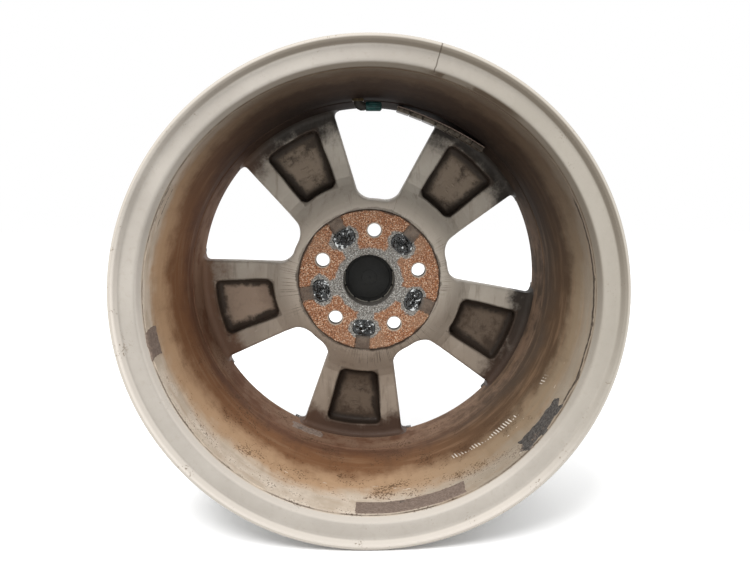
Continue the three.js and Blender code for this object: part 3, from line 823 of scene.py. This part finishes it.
class Shader:
    """One material: a Principled shader whose sockets are set to values or linked to nodes."""

    def __init__(self, name, **constants):
        self.material = bpy.data.materials.new(name)
        self.material.use_nodes = True
        self.tree = self.material.node_tree
        self.principled = self.tree.nodes["Principled BSDF"]
        for key, value in constants.items():
            self.principled.inputs[key.replace("_", " ").title().replace("Ior", "IOR")].default_value = value
        coordinates = self.node("ShaderNodeTexCoord", {}, {}, "Object")
        self.place = coordinates
        split = self.tree.nodes.new("ShaderNodeSeparateXYZ")
        self.tree.links.new(coordinates.socket, split.inputs[0])
        self.x, self.y, self.z = (Value(self, out) for out in split.outputs)
        self.depth = self.y - RIM_START

    def node(self, kind, settings, inputs, output=0):
        """Adds a node, makes its settings, sets or links its inputs, and gives one output."""
        node = self.tree.nodes.new(kind)
        for key, value in settings.items():
            if key == "stops":
                ramp = node.color_ramp
                while len(ramp.elements) < len(value):
                    ramp.elements.new(0.5)
                for element, (position, colour) in zip(ramp.elements, value):
                    element.position = position
                    element.color = (*colour, 1)
            else:
                setattr(node, key, value)
        for key, value in inputs.items():
            if isinstance(value, Value):
                self.tree.links.new(value.socket, node.inputs[key])
            else:
                node.inputs[key].default_value = value
        return Value(self, node.outputs[output])

    def feed(self, name, value):
        self.tree.links.new(value.socket, self.principled.inputs[name])

    def polar(self):
        """Radius from the wheel's axis and the bearing in degrees, from +X towards +Z."""
        radius = (self.x * self.x + self.z * self.z) ** 0.5
        bearing = self.node("ShaderNodeMath", {"operation": "ARCTAN2"}, {0: self.z, 1: self.x})
        return radius, bearing * math.degrees(1)

    def stretched(self, x, y, z):
        """Object coordinates scaled by axis, so that noise is drawn out along the small factors."""
        return self.node("ShaderNodeVectorMath", {"operation": "MULTIPLY"}, {0: self.place, 1: (x, y, z)})

    def vector(self, x, y, z):
        return self.node("ShaderNodeCombineXYZ", {}, {0: x, 1: y, 2: z})

    def noise(self, scale, detail=4, roughness=0.55, place=None, seed=0.0):
        """Cloudy noise from 0 to 1, scale in lumps per metre."""
        place = place or self.place
        moved = self.node("ShaderNodeVectorMath", {"operation": "ADD"},
                          {0: place, 1: (seed, seed * 1.7, -seed)})
        return self.node("ShaderNodeTexNoise", {}, {"Vector": moved, "Scale": scale, "Detail": detail,
                                                    "Roughness": roughness}, "Fac")

    def ramp(self, value, low, high, to_low=0.0, to_high=1.0, smooth=True):
        """Maps low..high to to_low..to_high, held at the ends."""
        return self.node("ShaderNodeMapRange",
                         {"interpolation_type": "SMOOTHSTEP" if smooth else "LINEAR", "clamp": True},
                         {0: value, 1: low, 2: high, 3: to_low, 4: to_high})

    def mix(self, share, first, second):
        """A colour between two, each a link or a triple of 0 to 255 display values."""
        def colour(value):
            return value if isinstance(value, Value) else (*srgb(*value), 1)
        inputs = {0: share, 6: colour(first), 7: colour(second)}
        return self.node("ShaderNodeMix", {"data_type": "RGBA"}, inputs, 2)

    def bump(self, height, distance, strength=1.0):
        inputs = {"Height": height, "Distance": distance, "Strength": strength}
        self.feed("Normal", self.node("ShaderNodeBump", {}, inputs, "Normal"))


def srgb(red, green, blue):
    """A colour given in 0 to 255 display values, as linear light."""
    part = np.array([red, green, blue], float) / 255
    return tuple(np.where(part <= 0.04045, part / 12.92, ((part + 0.055) / 1.055) ** 2.4))


def from_bearing(s, radius, degrees):
    """How far a point's bearing points towards a given bearing, from -1 to 1."""
    turn = math.radians(degrees)
    return (s.x * math.cos(turn) + s.z * math.sin(turn)) / radius


def barrel_finish():
    """Pale lacquer on the lip, with painted light and shade on its crest and shoulder; inside, brake dust
    that goes from tan to dark brown towards the spokes, redder on one side, darker on the upper wall (partly
    dust, partly painted shade), with specks, drips, a dark line along the ledge and scratches down to the
    metal."""
    s = Shader("barrel_alloy", specular_ior_level=0.1)
    radius, bearing = s.polar()
    cloud = s.noise(9, 5, 0.6)
    patch = s.noise(38, 5, 0.65, seed=5)
    fine = s.noise(170, 4, 0.6)
    speck = s.noise(520, 2, 0.5, seed=1)
    drip = s.noise(70, 4, 0.6, place=s.stretched(1.0, 0.22, 1.0), seed=3)
    band = s.noise(16, 4, 0.6, place=s.stretched(1.0, 7.0, 1.0), seed=7)
    low = from_bearing(s, radius, 262)
    warm = s.ramp(from_bearing(s, radius, 205), -0.55, 0.6)
    right = s.ramp(from_bearing(s, radius, 345), 0.2, 0.9)
    top = s.ramp(from_bearing(s, radius, 88), 0.2, 0.9)

    lacquer = s.mix(s.ramp(cloud, 0.3, 0.7), (150, 144, 136), (164, 158, 150))
    lacquer = s.mix(s.ramp(fine, 0.5, 0.8) * 0.3, lacquer, (136, 128, 116))
    # Painted shade: the lacquer is tinted darker towards the right, the side away from the light.
    lacquer = s.mix(s.ramp(from_bearing(s, radius, 20), 0.2, 1.0) * 0.5, lacquer, (132, 126, 114))
    # Painted light and painted shade: the lip's crest and shoulder are painted lighter towards the lower left
    # and darker towards the upper right.
    crest = s.ramp(radius, 0.2262, 0.2275) * s.ramp(radius, 0.2328, 0.2312)
    shoulder = s.ramp(radius, 0.2135, 0.2115)
    light_bearing = from_bearing(s, radius, 245)
    painted_light_rounds = crest.or_more(shoulder)
    lacquer = s.mix(painted_light_rounds * s.ramp(light_bearing, -0.05, 0.6) * 0.9, lacquer, (190, 183, 174))
    lacquer = s.mix(painted_light_rounds * s.ramp(light_bearing, 0.0, -0.8) * 0.85, lacquer, (98, 90, 79))
    lacquer = s.mix(s.ramp(radius, 0.2318, 0.2332) * 0.7, lacquer, (178, 171, 161))
    lacquer = s.mix(s.ramp(radius, 0.2346, 0.2351) * s.ramp(patch, 0.3, 0.5) * 0.6, lacquer, (104, 92, 78))
    lip_dirt = s.ramp(speck * 0.5 + patch * 0.7, 0.72, 0.80) * s.ramp(s.depth, 0.0075, 0.004, 0.35, 1.0)
    lacquer = s.mix(lip_dirt * 0.75, lacquer, (104, 90, 74))

    reach = s.depth + (cloud - 0.5) * 0.05 + (drip - 0.5) * 0.014
    reach = reach + (patch - 0.5) * 0.045 + (band - 0.5) * 0.01
    reach = reach + top * 0.012 - s.ramp(low, 0.2, 1.0) * 0.012
    # Darker on the upper wall: partly brake dust, partly painted shade where the wall faces down.
    upper_dust_and_shade = s.ramp(low, 0.1, -0.95)
    pale = s.mix(s.ramp(patch, 0.35, 0.65), (182, 168, 151), (208, 196, 181))
    pale = s.mix(right * 0.75, pale, (122, 112, 97))
    pale = s.mix(upper_dust_and_shade, pale, (86, 75, 63))
    tan = s.mix(warm, (130, 114, 94), (170, 140, 110))
    tan = s.mix(upper_dust_and_shade, tan, (74, 60, 47))
    brown = s.mix(warm, (80, 63, 48), (114, 80, 55))
    brown = s.mix(upper_dust_and_shade, brown, (46, 34, 25))
    dusk = s.mix(warm, (76, 64, 54), (94, 65, 49))
    dusk = s.mix(upper_dust_and_shade, dusk, (27, 19, 15))
    wall = s.mix(s.ramp(reach, 0.03, 0.058), pale, tan)
    wall = s.mix(s.ramp(reach, 0.06, 0.098), wall, brown)
    wall = s.mix(s.ramp(reach, 0.105, 0.14), wall, dusk)
    wall = s.mix(s.ramp(band, 0.45, 0.75) * 0.3 * (1 - upper_dust_and_shade), wall, (150, 122, 96))
    bloom = s.ramp(s.depth, 0.142, 0.16) * s.ramp(patch + cloud * 0.5, 0.62, 0.85) * (1 - upper_dust_and_shade)
    wall = s.mix(bloom * 0.5, wall, (134, 110, 92))
    shade = s.ramp(drip, 0.5, 0.75) * s.ramp(s.depth, 0.03, 0.06)
    wall = s.mix(shade * 0.16, wall, (60, 46, 36))
    cluster = s.ramp(abs(bearing + 85), 12, 5) * s.ramp(abs(s.depth - 0.064), 0.02, 0.008)
    spots = s.ramp(speck * 0.6 + patch * 0.6 + cluster * 0.06, 0.68, 0.73) * s.ramp(low, 0.1, 0.9)
    wall = s.mix(spots * 0.75, wall, (76, 56, 40))

    inside = s.ramp(s.depth, 0.0155, 0.0182)
    colour = s.mix(inside, lacquer, wall)
    ledge = 1 - s.ramp(abs(s.depth - 0.0186), 0.0004, 0.0012)
    colour = s.mix(ledge * s.ramp(patch, 0.3, 0.6) * 0.8, colour, (72, 60, 50))
    tail = (1 - s.ramp(abs(s.depth - 0.0225 - (patch - 0.5) * 0.012), 0.0012, 0.0024))
    tail = tail * s.ramp(abs(bearing + 1), 29, 26) * s.ramp(cloud + fine * 0.3, 0.5, 0.62)
    colour = s.mix(tail * 0.9, colour, (58, 50, 44))

    crack = 1 - s.ramp(abs(bearing - 74.7 + (patch - 0.5) * 1.2), 0.10, 0.22)
    crack = crack * s.ramp(s.depth, 0.013, 0.011)
    colour = s.mix(crack * 0.7, colour, (66, 56, 46))
    stain = s.ramp(abs(bearing - 64), 15, 9) * s.ramp(abs(s.depth - 0.0135), 0.0045, 0.002)
    colour = s.mix(stain * s.ramp(patch + fine * 0.3, 0.58, 0.72) * 0.85, colour, (70, 58, 46))
    wander = (patch - 0.5) * 0.006
    near, far = (1 - s.ramp(abs(s.depth - line - wander), 0.0006, 0.0014) for line in (0.0205, 0.0335))
    old_edge = near.or_more(far) * s.ramp(abs(bearing - 155), 6.5, 5.0) * s.ramp(fine, 0.42, 0.5)
    colour = s.mix(old_edge * 0.85, colour, (62, 52, 45))
    tally = (bearing * 6.6 + s.depth * 420).sin()
    zone = s.ramp(abs(s.depth - 0.0895 - (bearing + 46) * -0.00035), 0.0052, 0.0042)
    zone = zone * s.ramp(abs(bearing + 46), 21, 17)
    group = s.ramp(s.noise(26, 1, 0.5, seed=9), 0.52, 0.56)
    scrape = s.ramp(tally, 0.2, 0.5) * zone * group * s.ramp(fine, 0.42, 0.5)
    scuff = s.ramp(s.noise(150, 2, 0.4, place=s.stretched(0.35, 2.2, 1.0), seed=12), 0.735, 0.76)
    scuff = scuff * s.ramp(abs(bearing + 75), 62, 40) * s.ramp(abs(s.depth - 0.048), 0.03, 0.02)
    colour = s.mix(scrape.or_more(scuff) * 0.85, colour, (214, 206, 194))
    open_side = s.ramp(s.depth, 0.019, 0.15, 0.2086, 0.1934, smooth=False)
    tyre_side = s.ramp(radius - open_side, 0.0028, 0.0034) * s.ramp(s.depth, 0.012, 0.0135)
    street = s.ramp(s.depth, 0.1985, 0.2)
    alloy = s.mix(s.ramp(fine, 0.3, 0.7), (148, 147, 144), (160, 159, 156))
    alloy = s.mix(tyre_side * s.ramp(patch, 0.5, 0.75) * 0.4, alloy, (112, 108, 102))
    colour = s.mix(tyre_side.or_more(street), colour, alloy)
    s.feed("Base Color", colour)
    s.feed("Roughness", s.ramp(inside * 0.5 + fine * 0.5, 0.15, 0.8, 0.4, 0.85))
    s.bump(fine * 0.5 + speck * 0.25 + cloud + inside * patch * 0.5, 0.0004, 0.5)
    return s.material


def sector_frame(radius, bearing, first=FIRST_SPOKE_DEGREES):
    """Lengths from the wheel's axis, along and across the nearest of five bearings from a first one."""
    half = SECTOR_DEGREES / 2
    turn = ((bearing - first + half) % SECTOR_DEGREES - half) * math.radians(1)
    return radius * turn.cos(), radius * turn.sin()


def spoke_finish():
    """Warm grey cast alloy under a film of dust, with dark crust in the pockets and by the barrel."""
    s = Shader("spoke_alloy", metallic=0.05, specular_ior_level=0.12)
    radius, bearing = s.polar()
    along, across = sector_frame(radius, bearing)
    cloud = s.noise(14, 5, 0.6)
    patch = s.noise(55, 5, 0.7, seed=4)
    fine = s.noise(240, 4, 0.6)
    streak = s.noise(120, 4, 0.65, place=s.stretched(1.0, 1.0, 0.16), seed=6)
    spoke_wise = s.vector(bearing * 0.9, radius * 4, s.depth * 4)
    scratch = s.noise(2.2, 3, 0.7, place=spoke_wise, seed=2)
    lower = s.ramp(from_bearing(s, radius, 262), -0.2, 0.9)
    base = s.mix(s.ramp(cloud, 0.3, 0.7), (150, 142, 131), (172, 165, 154))
    base = s.mix(lower * 0.5, base, (122, 102, 84))
    base = s.mix(s.ramp(streak, 0.5, 0.75) * 0.5, base, (98, 86, 73))
    base = s.mix(s.ramp(fine, 0.6, 0.75) * 0.3, base, (184, 176, 164))
    # Painted light: the roots of the upper spokes are painted lighter, where their slope faces the light.
    base = s.mix(s.ramp(radius, 0.108, 0.088) * (1 - lower) * 0.6, base, (188, 178, 165))
    marks = s.ramp(scratch, 0.56, 0.62) * s.ramp(radius + (patch - 0.5) * 0.04, 0.104, 0.086)
    marks = marks * s.ramp(cloud, 0.42, 0.55)
    base = s.mix(marks * 0.75, base, (64, 54, 45))
    teeth = s.ramp(radius + (patch - 0.5) * 0.012, 0.0812, 0.0796)
    teeth = teeth * s.ramp(cloud + patch * 0.4, 0.5, 0.8, 0.35, 1)
    base = s.mix(teeth * 0.8, base, (60, 50, 42))
    far = s.ramp(radius + (patch - 0.5) * 0.05 + (cloud - 0.5) * 0.03, 0.156, 0.182)
    crust = s.mix(s.ramp(from_bearing(s, radius, 192), 0.3, 0.95), (18, 13, 11), (108, 80, 62))
    crust = s.mix(lower * 0.6, crust, (78, 55, 43))
    colour = s.mix(far * 0.93, base, crust)
    back = s.ramp(s.depth, 0.1995, 0.1975)
    in_length = s.ramp(abs(radius - POCKET_MIDDLE), 0.038, 0.034)
    off_middle = abs(across) - (along - POCKET_MIDDLE) * POCKET_SPLAY
    in_width = s.ramp(off_middle, 0.0305, 0.0275)
    pocket = in_length * in_width * back
    sunk = s.ramp(s.depth - 0.183 - s.ramp(radius, 0.106, 0.175, -0.006, 0.0025), 0.0, 0.004)
    colour = s.mix(s.ramp(patch + pocket * 0.25, 0.62, 0.75) * pocket * 0.5, colour, (60, 48, 39))
    middle_share = s.ramp(patch + (0.022 - abs(along - POCKET_MIDDLE)) * 6, 0.38, 0.62)
    floor = s.mix(middle_share, (56, 46, 37), (126, 112, 97))
    floor = s.mix(s.ramp(abs(bearing + 60), 60, 50) * 0.55, floor, (62, 48, 39))
    floor = s.mix(s.ramp(from_bearing(s, radius, 192), 0.8, 0.95) * 0.6, floor, (172, 150, 132))
    wander = (patch - 0.5) * 0.02
    grime = s.ramp(off_middle + wander, 0.0155, 0.0225)
    grime = grime.or_more(s.ramp(abs(radius - POCKET_MIDDLE) + wander, 0.0225, 0.0295))
    floor = s.mix(grime * 0.92, floor, (34, 27, 22))
    colour = s.mix(pocket * sunk * 0.95, colour, floor)
    front = s.ramp(radius, 0.085, 0.175, 0.198, 0.207, smooth=False)
    street = s.ramp(s.depth - front, -0.0045, -0.0015)
    face = s.mix(s.ramp(fine, 0.3, 0.7), (150, 150, 148), (160, 160, 158))
    colour = s.mix(street, colour, face)
    s.feed("Base Color", colour)
    s.feed("Roughness", s.ramp(fine, 0.3, 0.7, 0.42, 0.62))
    s.bump(fine * 0.5 + cloud + pocket * patch * 1.6 + streak * 0.3, 0.0005, 0.6)
    return s.material


def pad_finish():
    """Orange-brown rust grains on the mounting face, with grey oxide round the bore, in lanes towards the
    cored pockets and round them, brown channels, and a bare ring round each bolt hole."""
    s = Shader("hub_alloy", specular_ior_level=0.25)
    radius, bearing = s.polar()
    along, across = sector_frame(radius, bearing)
    grain = s.noise(560, 3, 0.7)
    fleck = s.noise(700, 2, 0.5, seed=4)
    patch = s.noise(90, 5, 0.65, seed=2)
    cloud = s.noise(24, 3, 0.5, seed=8)
    rust = s.mix(s.ramp(grain, 0.38, 0.58), (78, 44, 27), (148, 100, 68))
    rust = s.mix(s.ramp(fleck, 0.53, 0.63) * 0.9, rust, (192, 166, 142))
    rust = s.mix(s.ramp(patch + cloud * 0.5, 0.62, 0.9) * 0.35, rust, (112, 72, 48))
    rust = s.mix(s.ramp(cloud, 0.4, 0.7) * 0.3, rust, (148, 126, 104))
    grey = s.mix(s.ramp(grain, 0.38, 0.6), (72, 70, 66), (126, 122, 116))
    grey = s.mix(s.ramp(fleck, 0.54, 0.64) * 0.8, grey, (176, 176, 172))
    ring = s.ramp(radius + (patch - 0.5) * 0.009, 0.0385, 0.0355)
    from_core = ((along - CORE_CIRCLE) ** 2 * 1.75 + across ** 2) ** 0.5
    halo = s.ramp(from_core + (patch - 0.5) * 0.012, 0.0182, 0.0158)
    lane = s.ramp(abs(across) + (patch - 0.5) * 0.008, 0.0105, 0.008) * s.ramp(radius, 0.055, 0.05)
    colour = s.mix(ring.or_more(halo).or_more(lane), rust, grey)
    channel = s.ramp(abs(across) + (patch - 0.5) * 0.007 + (grain - 0.5) * 0.003, 0.0084, 0.0068)
    channel = channel * s.ramp(along, 0.06, 0.065)
    mud = s.mix(s.ramp(patch, 0.35, 0.65), (74, 64, 56), (104, 94, 84))
    colour = s.mix(channel * 0.9, colour, mud)
    bolt_along, bolt_across = sector_frame(radius, bearing, FIRST_SPOKE_DEGREES + SECTOR_DEGREES / 2)
    from_bolt = ((bolt_along - BOLT_CIRCLE) ** 2 + bolt_across ** 2) ** 0.5
    rim = s.ramp(from_bolt, 0.0092, 0.0084)
    colour = s.mix(rim * 0.8, colour, (150, 142, 130))
    bolt_bore = s.ramp(s.depth, 0.1558, 0.157) * s.ramp(from_bolt, 0.0135, 0.0125)
    colour = s.mix(bolt_bore * 0.8, colour, (84, 74, 64))
    edge = s.ramp(radius + (patch - 0.5) * 0.007 + (grain - 0.5) * 0.004, 0.0762, 0.0778)
    colour = s.mix(edge * 0.9, colour, (56, 43, 34))
    wall = s.ramp(s.depth, 0.1562, 0.159)
    colour = s.mix(wall * 0.6, colour, (70, 64, 58))
    street = s.ramp(s.depth, 0.1895, 0.193)
    face = s.mix(s.ramp(grain, 0.3, 0.7), (148, 148, 146), (160, 160, 158))
    colour = s.mix(street, colour, face)
    s.feed("Base Color", colour)
    s.feed("Roughness", s.ramp(fleck, 0.3, 0.7, 0.55, 0.85))
    s.bump(grain * 1.2 + patch * 1.2 + fleck * 0.6, 0.0007, 0.7)
    return s.material


def grease_finish():
    """Black grease, wet in the hollows, with grey specks, and white glints painted into its colour as painted
    highlights.
    """
    s = Shader("grease", specular_ior_level=0.3, coat_roughness=0.06)
    lump = s.noise(120, 3, 0.5)
    glint = s.noise(240, 2, 0.5, seed=3)
    fleck = s.noise(800, 2, 0.5, seed=5)
    # Painted highlights: white glints drawn into the colour.
    painted_highlight = s.ramp(lump * 0.35 + glint * 0.85, 0.68, 0.76)
    colour = s.mix(s.ramp(lump, 0.45, 0.65), (9, 10, 10), (44, 46, 47))
    colour = s.mix(s.ramp(fleck, 0.6, 0.68) * 0.5, colour, (120, 124, 124))
    colour = s.mix(painted_highlight, colour, (206, 210, 210))
    s.feed("Base Color", colour)
    s.feed("Roughness", s.ramp(glint, 0.35, 0.65, 0.1, 0.4))
    s.feed("Coat Weight", s.ramp(lump, 0.4, 0.6, 0.5, 0.0))
    s.bump(lump + glint * 0.6, 0.0015, 0.9)
    return s.material


def dull_finish(name, dark, light, roughness, metallic=0.0, dust=None, rim=None):
    """An even material: two tones in fine grain, uneven gloss, a film of dust where it is wanted, and a
    paler edge up to the depth of a rim where one is given."""
    s = Shader(name, metallic=metallic, specular_ior_level=0.25)
    grain = s.noise(300, 4, 0.6)
    cloud = s.noise(25, 4, 0.6, seed=2)
    colour = s.mix(s.ramp(grain, 0.35, 0.65), dark, light)
    if dust:
        colour = s.mix(s.ramp(cloud, 0.42, 0.7) * 0.6, colour, dust)
    if rim:
        colour = s.mix(s.ramp(s.depth, rim, rim - 0.0012) * 0.8, colour, (128, 124, 114))
    s.feed("Base Color", colour)
    s.feed("Roughness", s.ramp(cloud, 0.3, 0.7, roughness - 0.07, min(1.0, roughness + 0.1)))
    s.bump(grain + cloud * 0.5, 0.0002, 0.6)
    return s.material


def tape_finish():
    """Old foam: grey-brown skin, worn through to a darker core, with pale crumbs."""
    s = Shader("foam_tape", roughness=0.9)
    grain = s.noise(420, 4, 0.65)
    patch = s.noise(70, 5, 0.7, seed=3)
    radius, _ = s.polar()
    right = s.ramp(from_bearing(s, radius, 323), 0.9, 0.96)
    skin = s.mix(s.ramp(grain, 0.35, 0.65), (104, 89, 79), (128, 112, 101))
    core = s.mix(s.ramp(grain, 0.35, 0.65), (44, 40, 37), (84, 80, 76))
    worn = s.ramp(patch + right * 0.3, 0.62, 0.72)
    colour = s.mix(worn, skin, core)
    s.feed("Base Color", colour)
    s.bump(grain + patch, 0.0006, 0.8)
    return s.material


def dress(node, material):
    """Gives a carried-over solid its finish, through the slots of its object."""
    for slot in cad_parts[node].material_slots:
        slot.material = material


# ---- stage -----------------------------------------------------------------------------------------

def make_stage():
    floor_z = cad_bounds[0].z
    mesh = bpy.data.meshes.new("floor")
    half = 4.0
    mesh.from_pydata([(-half, -half, floor_z), (half, -half, floor_z), (half, half, floor_z),
                      (-half, half, floor_z)], [], [(0, 1, 2, 3)])
    floor = bpy.data.objects.new("floor", mesh)
    bpy.context.scene.collection.objects.link(floor)
    s = Shader("pale_floor", roughness=1.0, specular_ior_level=0.0)
    s.principled.inputs["Base Color"].default_value = (0.98, 0.98, 0.98, 1)
    mesh.materials.append(s.material)

    world = bpy.data.worlds.new("studio")
    world.use_nodes = True
    world.node_tree.nodes["Background"].inputs[0].default_value = (1, 1, 1, 1)
    world.node_tree.nodes["Background"].inputs[1].default_value = 1.0
    bpy.context.scene.world = world
    for name, place, aim, size, power in (
        ("key", (-0.55, -1.5, 2.0), (0, 0, 0), 1.2, 60),
        ("back", (0.6, 1.8, 1.6), (0, 0, 0), 1.8, 14),
    ):
        lamp = bpy.data.lights.new(name, "AREA")
        lamp.shape = "DISK"
        lamp.size = size
        lamp.energy = power
        holder = bpy.data.objects.new(name, lamp)
        holder.location = place
        holder.rotation_euler = (Vector(aim) - Vector(place)).to_track_quat("-Z", "Y").to_euler()
        bpy.context.scene.collection.objects.link(holder)


def make_camera():
    """The camera stands 634 mm before the car-side flange, 111 mm above the axis, looking down 8 degrees."""
    pitch, yaw = math.radians(-8.045), math.radians(0.883)
    camera = bpy.data.cameras.new("camera")
    camera.sensor_width = 36
    camera.lens = 34.54
    holder = bpy.data.objects.new("camera", camera)
    holder.location = (-5.6 * MM, RIM_START - 634.4 * MM, 111.1 * MM)
    look = Vector((math.sin(yaw) * math.cos(pitch), math.cos(yaw) * math.cos(pitch), math.sin(pitch)))
    holder.rotation_euler = look.to_track_quat("-Z", "Y").to_euler()
    bpy.context.scene.collection.objects.link(holder)
    bpy.context.scene.camera = holder


make_camera()
make_stage()
make_barrel(barrel_finish())
spoke_metal = spoke_finish()
make_spokes(spoke_metal)
make_casting_marks(spoke_metal)
make_pad(pad_finish())
make_grease(grease_finish())
cap_plastic = dull_finish("cap_plastic", (11, 12, 10), (18, 18, 16), 0.55, dust=(28, 27, 23), rim=0.1795)
spring_steel = dull_finish("spring_steel", (120, 116, 108), (150, 146, 138), 0.35, 0.8)
badge_metal = dull_finish("badge_metal", (150, 152, 154), (164, 166, 168), 0.3, 0.5)
make_centre_cap(cap_plastic, badge_metal)
valve_black = dull_finish("valve_black", (20, 19, 17), (34, 32, 29), 0.6, dust=(66, 58, 48))
valve_brass = dull_finish("valve_brass", (58, 48, 32), (84, 70, 46), 0.5, 0.6, dust=(40, 34, 27))
cap_green = dull_finish("valve_cap_plastic", (8, 46, 44), (14, 66, 63), 0.45, dust=(18, 36, 34))
make_valve(valve_black, valve_brass, cap_green)
rubber = dull_finish("seal_rubber", (24, 23, 22), (36, 35, 33), 0.8, dust=(60, 54, 46))
weight_metal = dull_finish("weight_metal", (58, 51, 43), (92, 84, 73), 0.45, 0.3, dust=(40, 33, 27))
foam = tape_finish()
make_weights(weight_metal, foam)
make_old_tapes(foam)
for node, finish in (("cap_spring_ring", spring_steel), ("valve_grommet", rubber), ("valve_cap_seal", rubber),
                     ("valve_core", valve_brass), ("valve_pin", valve_brass), ("valve_spring", spring_steel)):
    dress(node, finish)

bpy.context.scene.view_settings.view_transform = "Standard"
